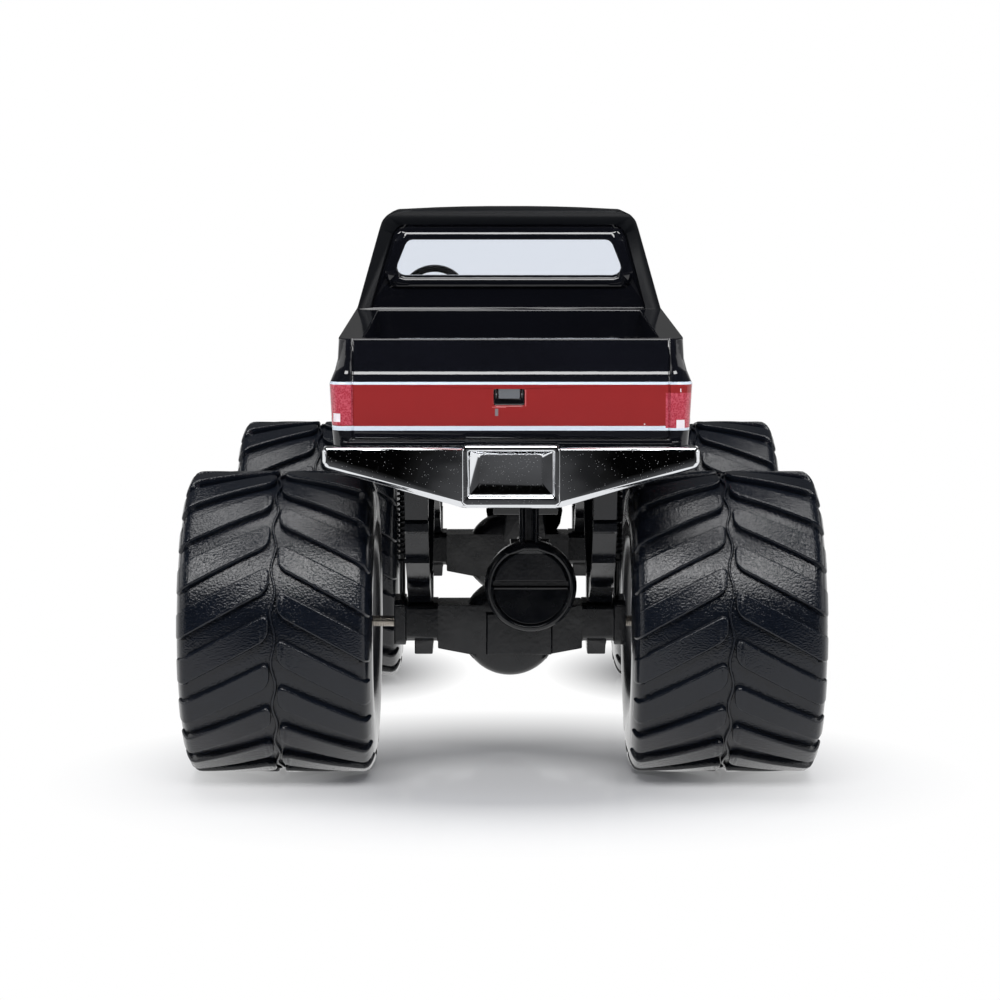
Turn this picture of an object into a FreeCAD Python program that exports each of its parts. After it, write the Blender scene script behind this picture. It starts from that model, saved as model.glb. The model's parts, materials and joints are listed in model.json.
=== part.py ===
import FreeCAD, Part
import math
import os

# Toy monster truck, modelled at its own size, in millimetres: +Y forward, +X to the
# right as seen from behind, +Z up, ground at z = 0.

# Running gear
wheelbase = 46.6
rearOverhang = 17.8
frontOverhang = 15.4
tyreRadius = 14.2
tyreWidth = 17.7
trackWidth = 41.1
lugCount = 20
lugHeight = 0.65
rimRadius = 6.2
pinRadius = 0.5
endPlay = 0.75
suspensionHeight = 14.0
frameDepth = 3.2

# Body
bodyWidth = 32.0
bodySideHeight = 9.45
bedLength = 33.0
cabLength = 22.0
cabHeight = 10.1
bumperReach = 2.8
wall = 1.0

# Clearances, and how far the chord of a curve may stray from it
runningGap = 0.05
seamGap = 0.1
looseGap = 0.3
chordSag = 0.03

# Slopes and shares
railRiseDeg = 1.3
tumblehome = 0.285

# Stations along the truck
overallLength = rearOverhang + wheelbase + frontOverhang
rearFaceY = -overallLength / 2
frontFaceY = overallLength / 2
rearAxleY = rearFaceY + rearOverhang
frontAxleY = rearAxleY + wheelbase
tailgateY = rearFaceY + bumperReach
noseY = frontFaceY - bumperReach + 0.4
cabBackY = tailgateY + bedLength
cowlY = cabBackY + cabLength
axleStations = [("rear", rearAxleY, -1), ("front", frontAxleY, 1)]

# Stations across
bodyHalf = bodyWidth / 2
cabHalf = bodyHalf - 0.85
cavityHalf = bodyHalf - 1.4
bedHalf = bodyHalf - 3.0
archInnerX = bodyHalf - 4.8
tyreHalf = tyreWidth / 2
tyreInnerX = trackWidth / 2 - tyreHalf
axleHalf = tyreInnerX - 0.85
shockX = tyreInnerX - 1.6
springX = tyreInnerX - 3.3
springWidth = 2.1
seatInnerX = springX - 1.65

# Heights
axleZ = tyreRadius
frameBottomZ = axleZ + suspensionHeight
frameTopZ = frameBottomZ + frameDepth
plateTopZ = frameTopZ + 1.2
sillZ = plateTopZ - 0.25
railZ = sillZ + bodySideHeight
bedFloorZ = sillZ + 0.27 * bodySideHeight
archTopZ = sillZ + 0.63 * bodySideHeight
railSlope = math.tan(math.radians(railRiseDeg))
beltZ = railZ + railSlope * bedLength
hoodBackZ = railZ + railSlope * (cowlY - tailgateY)
hoodNoseZ = hoodBackZ - 1.0
beamTopZ = axleZ + 2.0
flangeTopZ = beamTopZ + 0.3
beamBottomZ = axleZ - 1.6


def vec(x, y, z):
    return FreeCAD.Vector(x, y, z)


def box(x0, x1, y0, y1, z0, z1):
    return Part.makeBox(x1 - x0, y1 - y0, z1 - z0, vec(x0, y0, z0))


def rodX(x0, x1, y, z, radius):
    return Part.makeCylinder(radius, x1 - x0, vec(x0, y, z), vec(1, 0, 0))


def fuse(shapes):
    return shapes[0].multiFuse(shapes[1:]).removeSplitter()


def mirrored(shape):
    return shape.mirror(vec(0, 0, 0), vec(1, 0, 0))


def bothSides(shape):
    return [shape, mirrored(shape)]


def chords(start, middle, end, radius, turn):
    """Points along an arc, close enough for chords to stay within chordSag of it."""
    count = math.ceil(turn / (2 * math.acos(1 - chordSag / radius)))
    return Part.Arc(start, middle, end).toShape().discretize(count + 1)


def roundedWire(points, radius):
    """Closed wire through the points with every corner rounded by its radius."""
    count = len(points)
    radii = radius if isinstance(radius, list) else [radius] * count
    outline = []
    for index in range(count):
        corner = points[index]
        before = (points[index - 1] - corner).normalize()
        after = (points[(index + 1) % count] - corner).normalize()
        if radii[index] == 0:
            outline.append(corner)
            continue
        half = before.getAngle(after) / 2
        reach = radii[index] / math.tan(half)
        bisector = (before + after).normalize()
        middle = corner + bisector * (radii[index] / math.sin(half) - radii[index])
        outline += chords(corner + before * reach, middle, corner + after * reach, radii[index],
                          math.pi - 2 * half)
    return Part.makePolygon(outline + [outline[0]])


def prismX(points, x0, x1, radius=0):
    wire = roundedWire([vec(x0, y, z) for y, z in points], radius)
    return Part.Face(wire).extrude(vec(x1 - x0, 0, 0))


def prismY(points, y0, y1, radius=0):
    wire = roundedWire([vec(x, y0, z) for x, z in points], radius)
    return Part.Face(wire).extrude(vec(0, y1 - y0, 0))


def prismZ(points, z0, z1, radius=0):
    wire = roundedWire([vec(x, y, z0) for x, y in points], radius)
    return Part.Face(wire).extrude(vec(0, 0, z1 - z0))


def symmetric(points):
    """Right half of an outline, given top to bottom, closed by its mirror image."""
    return points + [(-x, z) for x, z in reversed(points)]


def turned(profile, sides, place, axis):
    """Turns a closed list of (along, radius) round an axis in flat facets, to keep the
    repeated small pieces light."""
    rings = []
    for along, radius in profile:
        rings.append([vec(radius * math.cos(math.tau * k / sides), radius * math.sin(math.tau * k / sides), along)
                      for k in range(sides)])
    faces = []
    for index in range(len(profile)):
        lower = rings[index - 1]
        upper = rings[index]
        if profile[index - 1][1] == 0 and profile[index][1] == 0:
            continue
        for k in range(sides):
            n = (k + 1) % sides
            corners = [lower[k], lower[n], upper[n], upper[k]]
            if profile[index - 1][1] == 0:
                corners = [lower[k], upper[n], upper[k]]
            if profile[index][1] == 0:
                corners = [lower[k], lower[n], upper[k]]
            faces.append(Part.Face(Part.makePolygon(corners + [corners[0]])))
    shell = Part.Shell(faces)
    solid = Part.Solid(shell)
    if solid.Volume < 0:
        solid.reverse()
    solid = solid.removeSplitter()
    solid.Placement = FreeCAD.Placement(place, FreeCAD.Rotation(vec(0, 0, 1), axis))
    return solid


def rod(start, end, radius, sides=12):
    length = (end - start).Length
    profile = [(0, 0), (0, radius), (length, radius), (length, 0)]
    return turned(profile, sides, start, end - start)


# Tyre: two halves of a herringbone, each built ring by ring out of flat facets so
# that forty lugs stay light. A lug ring lists its distance from the middle, floor
# radius, lug radius, turn in degrees and the lug's share of the pitch.
lugRings = [
    (0.035 * tyreHalf, tyreRadius - lugHeight, tyreRadius, 1.0, 0.54),
    (0.91 * tyreHalf, tyreRadius - 1.15 * lugHeight, tyreRadius - 0.05, 18.0, 0.57),
]
shoulderRing = (tyreHalf, tyreRadius - 2.2 * lugHeight, 19.5)
wallRing = (tyreHalf - 0.15, (tyreRadius + rimRadius) / 2 - 0.9)
beadRing = (tyreHalf - 1.6, rimRadius / math.cos(math.pi / lugCount))


def ringPoint(x, radius, degrees):
    angle = math.radians(degrees)
    return vec(x, -radius * math.cos(angle), radius * math.sin(angle))


def tyreHalfFaces(side):
    """Facets of one half, open at x = 0 and at the bead."""
    pitch = 360 / lugCount
    start = 0 if side > 0 else pitch / 2
    faces = []

    def facet(*corners):
        order = corners if side > 0 else corners[::-1]
        faces.append(Part.Face(Part.makePolygon(list(order) + [order[0]])))

    def quad(a, b, c, d):
        facet(a, b, c)
        facet(a, c, d)

    def station(ring, pitchIndex):
        x, floor, top, turn, share = ring
        middle = start + pitchIndex * pitch - turn
        low = middle - share * pitch / 2
        high = middle + share * pitch / 2
        return [ringPoint(side * x, floor, low), ringPoint(side * x, top, low),
                ringPoint(side * x, top, high), ringPoint(side * x, floor, high)]

    def plain(x, radius, turn, pitchIndex):
        middle = start + pitchIndex * pitch - turn
        return [ringPoint(side * x, radius, middle + part * pitch) for part in (-0.25, 0.25)]

    for index in range(lugCount):
        centre = plain(0, lugRings[0][1], 0, index)
        nextCentre = plain(0, lugRings[0][1], 0, index + 1)
        first = station(lugRings[0], index)
        following = station(lugRings[0], index + 1)
        facet(centre[0], first[0], first[1])
        quad(centre[0], first[1], first[2], centre[1])
        facet(centre[1], first[2], first[3])
        quad(centre[1], first[3], following[0], nextCentre[0])
        for inner, outer in zip(lugRings, lugRings[1:]):
            here = station(inner, index)
            there = station(outer, index)
            hereNext = station(inner, index + 1)
            thereNext = station(outer, index + 1)
            for edge in range(3):
                quad(here[edge], there[edge], there[edge + 1], here[edge + 1])
            quad(here[3], there[3], thereNext[0], hereNext[0])
        last = station(lugRings[-1], index)
        lastNext = station(lugRings[-1], index + 1)
        x, radius, turn = shoulderRing
        edge = plain(x, radius, turn, index)
        edgeNext = plain(x, radius, turn, index + 1)
        facet(last[0], edge[0], last[1])
        quad(last[1], edge[0], edge[1], last[2])
        facet(last[2], edge[1], last[3])
        quad(last[3], edge[1], edgeNext[0], lastNext[0])
        inner = plain(*wallRing, turn, index)
        innerNext = plain(*wallRing, turn, index + 1)
        quad(edge[0], inner[0], inner[1], edge[1])
        quad(edge[1], inner[1], innerNext[0], edgeNext[0])
        bead = ringPoint(side * beadRing[0], beadRing[1], start + index * pitch - turn)
        beadNext = ringPoint(side * beadRing[0], beadRing[1], start + (index + 1) * pitch - turn)
        facet(inner[0], bead, inner[1])
        quad(inner[1], bead, beadNext, innerNext[0])
    return faces


def beadCorner(side, index):
    pitch = 360 / lugCount
    start = 0 if side > 0 else pitch / 2
    return ringPoint(side * beadRing[0], beadRing[1], start + index * pitch - shoulderRing[2])


def makeTyre(centreX, y):
    faces = tyreHalfFaces(1) + tyreHalfFaces(-1)
    for index in range(lugCount):
        right = beadCorner(1, index)
        rightNext = beadCorner(1, index + 1)
        left = beadCorner(-1, index)
        leftNext = beadCorner(-1, index + 1)
        faces.append(Part.Face(Part.makePolygon([right, left, rightNext, right])))
        faces.append(Part.Face(Part.makePolygon([left, leftNext, rightNext, left])))
    shell = Part.Shell(faces)
    shell.sewShape()
    solid = Part.Solid(shell)
    if solid.Volume < 0:
        solid.reverse()
    solid.translate(vec(centreX, y, axleZ))
    return solid


# Wheels: the disc stands at discX outside the wheel's middle, with a boss on it
discX = 0.26 * tyreHalf
bossHeight = 0.9
discOpenings = 8


def makeRim(side, centreX, y):
    """Deep dish seated in the tyre: lips over both beads, eight openings round the
    disc, and a sleeve on the pin."""
    lipX = tyreHalf - 0.8
    lipRadius = rimRadius + 0.35
    back = discX - 0.7
    profile = [(-lipX, lipRadius), (-lipX, rimRadius - 0.5), (back, rimRadius - 0.8), (back, 0), (discX, 0),
               (discX, 0.66 * rimRadius), (lipX, rimRadius - 0.6), (lipX, lipRadius),
               (lipX - 0.75, rimRadius), (-lipX + 0.75, rimRadius)]
    dish = turned(profile, lugCount, vec(0, 0, 0), vec(1, 0, 0))
    boss = turned([(-0.2 * tyreHalf, 0), (-0.2 * tyreHalf, 1.5), (discX, 0.37 * rimRadius),
                   (discX + bossHeight, 0.3 * rimRadius), (discX + bossHeight, 0)], 10, vec(0, 0, 0), vec(1, 0, 0))
    bore = rod(vec(-tyreHalf, 0, 0), vec(tyreHalf, 0, 0), pinRadius / math.cos(math.pi / 10), 10)
    slots = []
    for index in range(discOpenings):
        slot = prismX([(0.44 * rimRadius, -0.3), (0.62 * rimRadius, -0.6), (0.62 * rimRadius, 0.6),
                       (0.44 * rimRadius, 0.3)], back - 1, discX + 1)
        slot.rotate(vec(0, 0, 0), vec(1, 0, 0), (index + 0.5) * 360 / discOpenings)
        slots.append(slot)
    rim = fuse([dish.cut(Part.makeCompound(slots)), boss]).cut(bore)
    if side < 0:
        rim = mirrored(rim)
    rim.translate(vec(centreX, y, axleZ))
    return rim


def makeHub(side, centreX, y):
    """Stepped hexagonal cap that closes the end of the pin."""
    base = discX + bossHeight
    ring = [(1.55 * math.cos(math.tau * k / 6), 1.55 * math.sin(math.tau * k / 6)) for k in range(6)]
    flange = prismX(ring, base, base + 0.7)
    nose = prismX([(0.68 * a, 0.68 * b) for a, b in ring], base + 0.7, base + 1.7)
    hub = fuse([flange, nose])
    if side < 0:
        hub = mirrored(hub)
    hub.translate(vec(centreX, y, axleZ))
    return hub


def makePin(y, shift):
    reach = trackWidth / 2 + discX + bossHeight
    return rodX(shift - reach, shift + reach, y, axleZ, pinRadius)


# Body
sideSections = [(0, 0.34, 0.15), (0.185, 0.2, 0), (0.587, 0, 0), (0.704, 0.45, 0.75), (0.81, 0.7, 0.85)]


def planWire(z, halfWidth, yRear, yFront, corner):
    points = [vec(halfWidth, yRear, z), vec(halfWidth, yFront, z), vec(-halfWidth, yFront, z),
              vec(-halfWidth, yRear, z)]
    return roundedWire(points, corner)


def lowerBlock(inset):
    """Bed, doors and wings as one form, lofted up through sill, band, ledge and rail."""
    wires = []
    for share, tuck, setIn in sideSections:
        wires.append(planWire(sillZ + share * bodySideHeight, bodyHalf - tuck - inset,
                              tailgateY + setIn + inset, noseY - setIn - inset, 1.1))
    top = planWire(railZ, bodyHalf - 0.8 - inset, tailgateY + 0.95 + inset, noseY - 0.95 - inset, 1.1)
    top.rotate(vec(0, tailgateY, railZ), vec(1, 0, 0), railRiseDeg)
    return Part.makeLoft(wires + [top], True, True)


def hoodBand(low, high):
    """Slab that follows the hood line, from low to high above it."""
    return prismX([(cowlY, hoodBackZ + low), (noseY + 1, hoodNoseZ + low), (noseY + 1, hoodBackZ + high),
                   (cowlY, hoodBackZ + high)], -bodyHalf - 1, bodyHalf + 1)


def hoodPanel():
    """Raised middle of the hood."""
    angle = math.atan2(hoodBackZ - hoodNoseZ, noseY + 1 - cowlY)
    half = 0.4 * bodyHalf
    panel = prismY(symmetric([(half - 0.5, 0.28), (half, -0.5)]), 0.7, noseY - cowlY - 1.6)
    panel.rotate(vec(0, 0, 0), vec(1, 0, 0), -math.degrees(angle))
    panel.translate(vec(0, cowlY, hoodBackZ))
    return panel


def greenhouse(side, rear, front, top, bottomZ):
    """Cab above the belt: the view from behind crossed with the view from the side."""
    roofZ = beltZ + cabHeight - top
    shoulderZ = roofZ - 2.1

    def sideX(z):
        return cabHalf - tumblehome * (z - beltZ) - side

    foot = vec(sideX(bottomZ), cabBackY - 5, bottomZ)
    shoulder = vec(sideX(shoulderZ), cabBackY - 5, shoulderZ)
    crown = vec(shoulder.x - 2.3, cabBackY - 5, roofZ - 0.38)
    bend = vec(shoulder.x - 0.62, cabBackY - 5, roofZ - 0.88)
    peak = vec(0, cabBackY - 5, roofZ)
    corner = chords(shoulder, bend, crown, 2.3, math.radians(70))
    roof = Part.Arc(crown, peak, vec(-crown.x, crown.y, crown.z)).toShape().discretize(8)
    outline = [foot] + corner + roof[1:-1] + [vec(-p.x, p.y, p.z) for p in reversed([foot] + corner)]
    across = Part.Face(Part.makePolygon(outline + [foot])).extrude(vec(0, cabLength + 12, 0))
    screenTopY = cabBackY + 0.66 * cabLength - front
    screenFootY = cowlY + 0.2 - front
    rake = (screenFootY - screenTopY) / (roofZ - 0.75 - beltZ)
    profile = [(cabBackY + rear, bottomZ), (cabBackY + rear + 0.5, roofZ - 0.25),
               (cabBackY + 0.3 * cabLength, roofZ + 0.05), (screenTopY, roofZ - 0.75),
               (screenFootY + rake * (beltZ - bottomZ), bottomZ)]
    along = prismX(profile, -bodyHalf - 1, bodyHalf + 1, [0, 0.8, 1.1 * cabLength, 1.1, 0])
    return across.common(along)


def archOutline(axleY, grow):
    return [(axleY - archHalf - grow, sillZ - 2), (axleY + archHalf + grow, sillZ - 2),
            (axleY + archHalf - 1.2 + grow, archTopZ + grow),
            (axleY - archHalf + 1.2 - grow, archTopZ + grow)]


def archRadii(grow):
    return [0, 0, 3.2 + grow, 3.2 + grow]


archHalf = 0.535 * tyreRadius
postRadius = 1.6
screwRadius = 0.7
postStations = [(cabBackY - 9.4, bedFloorZ - wall / 2), (frontAxleY + 6, hoodNoseZ - 0.6)]
backWallY = cabBackY + 0.7


def makeBody():
    """Hollow casting: outer form less its cavities, with arch liners and screw posts
    inside, then the window, grille, handle and seam cuts."""
    outer = fuse([lowerBlock(0).cut(hoodBand(0, 5)), greenhouse(0, 0, 0, 0, beltZ - 0.2), hoodPanel()])
    hollows = [
        prismX([(cabBackY + wall, sillZ - 1), (noseY - 1.3, sillZ - 1), (noseY - 1.3, hoodNoseZ - wall),
                (cowlY, beltZ - wall), (cabBackY + wall, beltZ - wall)], -cavityHalf, cavityHalf),
        box(-cavityHalf, cavityHalf, tailgateY + 1.1, cabBackY - 0.9, sillZ - 1, bedFloorZ - wall),
        box(-cavityHalf, cavityHalf, cabBackY - 1, cabBackY + 1.2, sillZ - 1, plateTopZ + seamGap),
        greenhouse(wall, wall + 0.6, wall, wall, beltZ - wall - 0.2),
        box(-bedHalf, bedHalf, tailgateY + 2.0, cabBackY - 0.9, bedFloorZ, railZ + 5),
    ]
    shell = outer
    for hollow in hollows:
        shell = shell.cut(hollow)
    liners = []
    arches = []
    for name, axleY, face in axleStations:
        liner = prismX(archOutline(axleY, 0.7), archInnerX - 0.7, cavityHalf + 0.5, archRadii(0.7))
        liners += bothSides(liner.common(box(0, bodyHalf, axleY - 2 * archHalf, axleY + 2 * archHalf, sillZ, railZ)))
        arches += bothSides(prismX(archOutline(axleY, 0), archInnerX, bodyHalf + 3, archRadii(0)))
    posts = [rod(vec(0, y, plateTopZ + seamGap), vec(0, y, top), postRadius) for y, top in postStations]
    shell = fuse([shell] + liners + posts).cut(Part.makeCompound(arches))
    bores = [rod(vec(0, y, sillZ - 2), vec(0, y, plateTopZ + wall), screwRadius, 8) for y, top in postStations]
    windowFootZ = beltZ + 0.14 * cabHeight
    windowTopZ = beltZ + 0.76 * cabHeight
    sideWindow = prismX([(cabBackY + 2.3, windowFootZ), (cowlY - 2.4, windowFootZ),
                         (cabBackY + 0.69 * cabLength, windowTopZ), (cabBackY + 2.6, windowTopZ)],
                        -bodyHalf, bodyHalf, 0.6)
    screen = prismY(symmetric([(0.75 * cabHalf, beltZ + 0.8 * cabHeight), (0.885 * cabHalf, beltZ + 1.2)]),
                    cabBackY + 0.4 * cabLength, cowlY + 3, 0.7)
    half = cabHalf
    panel = prismY(symmetric([(0.745 * half, beltZ + 0.83 * cabHeight), (0.91 * half, beltZ + 0.02)]),
                   cabBackY - 3, backWallY, [1.4, 0, 0, 1.4])
    gasket = prismY(symmetric([(0.735 * half, beltZ + 0.75 * cabHeight), (0.845 * half, beltZ + 0.22 * cabHeight)]),
                    backWallY - 0.28, backWallY, 1.2)
    rearWindow = prismY(symmetric([(0.668 * half, beltZ + 0.68 * cabHeight), (0.762 * half, beltZ + 0.33 * cabHeight)]),
                        cabBackY - 1, cabBackY + 3, 0.8)
    grilleBay = box(-grilleHalf, grilleHalf, noseY - 1.7, noseY + 1, grilleBottomZ, grilleTopZ)
    handle = prismY([(-1.52, handleTopZ - 1.45), (1.2, handleTopZ - 1.45), (1.2, handleTopZ), (-1.52, handleTopZ)],
                    tailgateY - 1, tailgateY + 0.45, 0.25)
    paddle = prismY([(-1.09, handleTopZ - 0.85), (0.78, handleTopZ - 0.85), (0.78, handleTopZ), (-1.09, handleTopZ)],
                    tailgateY + 0.2, tailgateY + 0.5)
    shell = shell.cut(panel)
    shell = fuse([shell, gasket])
    for cut in bores + [sideWindow, screen, rearWindow, grilleBay, handle.cut(paddle)]:
        shell = shell.cut(cut)
    return shell.cut(seamLines()).removeSplitter()


grilleHalf = bodyHalf - 2.2
grilleBottomZ = sillZ + 0.31 * bodySideHeight
grilleTopZ = sillZ + 0.91 * bodySideHeight
handleTopZ = sillZ + 0.542 * bodySideHeight


def seamLines():
    """Panel gaps cut to an even depth: doors, bed front, tailgate and hood edges."""
    gap = 0.1
    skin = lowerBlock(0).cut(lowerBlock(0.2))
    doorRear = cabBackY + 3.2
    doorFront = cowlY - 1.6
    doorFoot = sillZ + 1.0
    frame = box(-bodyHalf, bodyHalf, doorRear - gap, doorFront + gap, doorFoot - gap, beltZ + 5)
    frame = frame.cut(box(-bodyHalf - 1, bodyHalf + 1, doorRear + gap, doorFront - gap, doorFoot + gap, beltZ + 9))
    bedFront = box(-bodyHalf, bodyHalf, cabBackY - 0.75, cabBackY - 0.55, sillZ, beltZ - 0.4)
    gateX = 0.87 * bodyHalf
    gate = box(-gateX - gap, gateX + gap, tailgateY - 1, tailgateY + 1.3, sillZ + 0.6, railZ + 1)
    gate = gate.cut(box(-gateX + gap, gateX - gap, tailgateY - 2, tailgateY + 3, sillZ + 0.8, railZ + 2))
    slabs = Part.makeCompound([frame, bedFront, gate])
    hoodX = bodyHalf - 2.4
    hood = hoodBand(-0.2, 1)
    strips = box(hoodX - gap, hoodX + gap, cowlY + 0.9, noseY - 1.2, railZ - 2, beltZ + 5)
    return Part.makeCompound([skin.common(slabs)] + [hood.common(s) for s in bothSides(strips)])


def makeGlass():
    """Clear inner moulding behind all the cab's windows."""
    skin = greenhouse(wall + seamGap, wall + 0.6 + seamGap, wall + seamGap, wall + seamGap, beltZ - 0.2)
    core = greenhouse(wall + 0.7, wall + 1.3, wall + 0.7, wall + 0.7, beltZ - 0.7)
    return skin.cut(core)


tubFrontY = cowlY - 2.0
columnRakeDeg = 35


def makeTub():
    """Interior moulding: tray, bench seat and dashboard, clear of the wheel arches."""
    half = cabHalf - 1.0
    rear = cabBackY + wall + 0.15
    front = tubFrontY
    floor = plateTopZ + 0.4
    top = beltZ - 1.4
    tray = box(-half, half, rear, front, floor, top)
    tray = tray.cut(box(-half + 0.8, half - 0.8, rear + 0.8, front - 0.8, floor + 0.9, top + 1))
    cushion = rear + 0.38 * cabLength
    seat = prismX([(rear + 0.8, floor + 0.9), (cushion, floor + 0.9), (cushion + 0.2, floor + 4.9),
                   (rear + 3.6, floor + 4.6), (rear + 2.7, beltZ + 1.7), (rear + 1.6, beltZ + 1.7)],
                  -half + 1.6, half - 1.6, [0, 0, 0.6, 0.4, 0.5, 0.3])
    dash = prismX([(front - 0.8, top - 3.2), (front, top - 2.0), (cowlY - 0.5, top - 1.0), (cowlY - 0.5, top + 0.9),
                   (front - 2.6, top + 0.9), (front - 3.2, top - 1.8)], -half + 1, half - 1)
    arch = prismX(archOutline(frontAxleY, 0.7 + looseGap), archInnerX - 1.0, bodyHalf, archRadii(1.0))
    return fuse([tray, seat, dash]).cut(Part.makeCompound(bothSides(arch)))


def makeSteeringWheel(tub):
    """Left-hand wheel whose raked column stands on the face of the dashboard."""
    wheelY = cabBackY + 0.6 * cabLength
    reach = (tubFrontY - 2.2 - wheelY) / math.cos(math.radians(columnRakeDeg))
    ring = [(0.3, 2.9), (0, 2.6), (-0.3, 2.9), (0, 3.2)]
    rim = turned(ring, 16, vec(0, 0, 0), vec(0, 0, 1))
    spoke = box(-2.8, 2.8, -0.3, 0.3, -0.2, 0.2)
    column = rod(vec(0, 0, 0.5), vec(0, 0, -reach), 0.45, 6)
    wheel = fuse([rim, spoke, column])
    wheel.Placement = FreeCAD.Placement(vec(-0.51 * cabHalf, wheelY, beltZ + 0.95),
                                        FreeCAD.Rotation(vec(1, 0, 0), 90 - columnRakeDeg))
    return wheel.cut(tub)


def makeGrille():
    """Chrome surround with five posts and four bars before a closed back."""
    bay = grilleTopZ - grilleBottomZ - 2 * seamGap
    low = grilleBottomZ + seamGap
    half = grilleHalf - seamGap
    frame = box(-half, half, noseY - 1.6, noseY - 0.3, low, low + bay)
    frame = frame.cut(box(-half + 0.6, half - 0.6, noseY - 1.15, noseY, low + 0.6, low + bay - 0.6))
    pitch = (bay - 1.2) / 5
    lampInner = half - 4.8
    bars = [box(-lampInner, lampInner, noseY - 1.2, noseY - 0.6, low + 0.45 + pitch * k, low + 0.75 + pitch * k)
            for k in range(1, 5)]
    posts = [box(s * lampInner / 2 - 0.15, s * lampInner / 2 + 0.15, noseY - 1.2, noseY - 0.5, low + 0.6,
                 low + bay - 0.6) for s in range(-2, 3)]
    return fuse([frame] + bars + posts)


def makeHeadlamp(side):
    """Stacked pair of square lamps in one lens."""
    half = grilleHalf - seamGap
    low = grilleBottomZ + seamGap + 0.75
    high = grilleTopZ - seamGap - 0.75
    middle = (low + high) / 2
    lamp = box(half - 4.5, half - 0.75, noseY - 1.15, noseY - 0.5, low, high)
    lamp = lamp.cut(box(0, half, noseY - 0.8, noseY, middle - 0.15, middle + 0.15))
    return lamp if side > 0 else mirrored(lamp)


def makeRearBumper():
    """V-shaped bar with bevelled edges and a framed plate bay in its middle."""
    half = bodyHalf + 0.45
    top = sillZ + 0.2
    endZ = sillZ - 1.6
    foot = sillZ - 5.15
    flat = 0.26 * bodyHalf
    face = rearFaceY + 0.3
    radii = [0.3, 0.5, 0.8, 0.8, 0.5, 0.3]
    front = roundedWire([vec(x, face, z) for x, z in symmetric(
        [(half - 0.25, top - 0.2), (half - 0.25, endZ + 0.3), (flat - 0.1, foot + 0.55)])], radii)
    full = roundedWire([vec(x, face + 0.5, z) for x, z in symmetric(
        [(half, top), (half, endZ), (flat, foot)])], radii)
    bevel = Part.makeLoft([front, full], True, True)
    bar = Part.Face(full).extrude(vec(0, 1.4, 0))
    block = prismY(symmetric([(flat + 0.08, top + 0.2), (flat + 0.08, foot + 0.25)]), rearFaceY, face + 1.9, 0.35)
    bay = prismY(symmetric([(flat - 0.42, top - 0.3), (flat - 0.42, foot + 1.05)]), rearFaceY - 1,
                 rearFaceY + 0.75, 0.15)
    plate = prismY(symmetric([(0.173 * bodyHalf, top - 0.65), (0.173 * bodyHalf, foot + 1.9)]), rearFaceY - 1,
                   rearFaceY + 1.05, 0.3)
    return fuse([bar, bevel, block]).cut(bay).cut(plate)


def makeFrontBumper():
    """Wrap-round bar: its plan crossed with its bevelled section."""
    inner = bodyHalf + 0.2
    outer = bodyHalf + 0.85
    plan = [(-outer, frontFaceY - 4.2), (-outer, frontFaceY - 1.3), (-outer + 2.6, frontFaceY),
            (outer - 2.6, frontFaceY), (outer, frontFaceY - 1.3), (outer, frontFaceY - 4.2),
            (inner, frontFaceY - 4.2), (inner, frontFaceY - 1.9), (inner - 2.2, frontFaceY - 1.2),
            (-inner + 2.2, frontFaceY - 1.2), (-inner, frontFaceY - 1.9), (-inner, frontFaceY - 4.2)]
    low = sillZ - 0.8
    high = sillZ + 2.1
    side = [(frontFaceY - 5, low), (frontFaceY - 0.35, low), (frontFaceY, low + 0.5), (frontFaceY, high - 0.9),
            (frontFaceY - 0.5, high), (frontFaceY - 5, high)]
    return prismZ(plan, low - 1, high + 1).common(prismX(side, -outer - 1, outer + 1))


# Chassis
springHalfSpan = 0.268 * wheelbase
springEyeZ = frameBottomZ - 3.3
bracketZ = frameBottomZ + 0.8
caseY = 0.015 * overallLength
shaftX = 0.175 * axleHalf
shaftZ = frameBottomZ - 4.4
pinionZ = axleZ + 6.5
plateY = 2.5


def makeFrame():
    """Side rails, crossmembers, closing plate, spring hangers and shock brackets."""
    plate = box(-cavityHalf + 0.6, cavityHalf - 0.6, tailgateY + 1.5, noseY - 1.9, frameTopZ, plateTopZ)
    notches = []
    for name, axleY, face in axleStations:
        reach = archHalf + 1.3
        notches += bothSides(box(archInnerX - 1.0, bodyHalf + 5, axleY - reach, axleY + reach, sillZ - 5, sillZ + 5))
    plate = plate.cut(Part.makeCompound(notches))
    low = frameBottomZ
    high = frameTopZ
    tail = rearFaceY + 2.2
    side = [(tail, high), (tail, low + 1.3), (tail + 3.5, low), (frontFaceY - 5, low), (frontFaceY - 1.2, low + 1.3),
            (frontFaceY - 1.2, high)]
    shapes = [plate]
    shapes += bothSides(prismX(side, springX - springWidth / 2, springX + springWidth / 2))
    for share in (-0.43, -0.11, 0.015, 0.17, 0.43):
        y = share * overallLength
        shapes.append(prismX([(y - 0.9, high), (y - 0.6, low + 0.6), (y + 0.6, low + 0.6), (y + 0.9, high)],
                             -springX, springX))
    for name, axleY, face in axleStations:
        for end in (-1, 1):
            y = axleY + end * springHalfSpan
            shapes += bothSides(prismX([(y - 1.5, low + 0.4), (y - 0.7, springEyeZ + 0.7), (y + 0.7, springEyeZ + 0.7),
                                        (y + 1.5, low + 0.4)], springX - springWidth / 2, springX + springWidth / 2))
        shapes += bothSides(box(springX, shockX + 0.65, axleY - 1.0, axleY + 1.0, bracketZ, high + 0.2))
    holes = [rod(vec(0, y, low), vec(0, y, plateTopZ + 1), screwRadius, 8) for y, top in postStations]
    return fuse(shapes).cut(Part.makeCompound(holes))


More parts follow.
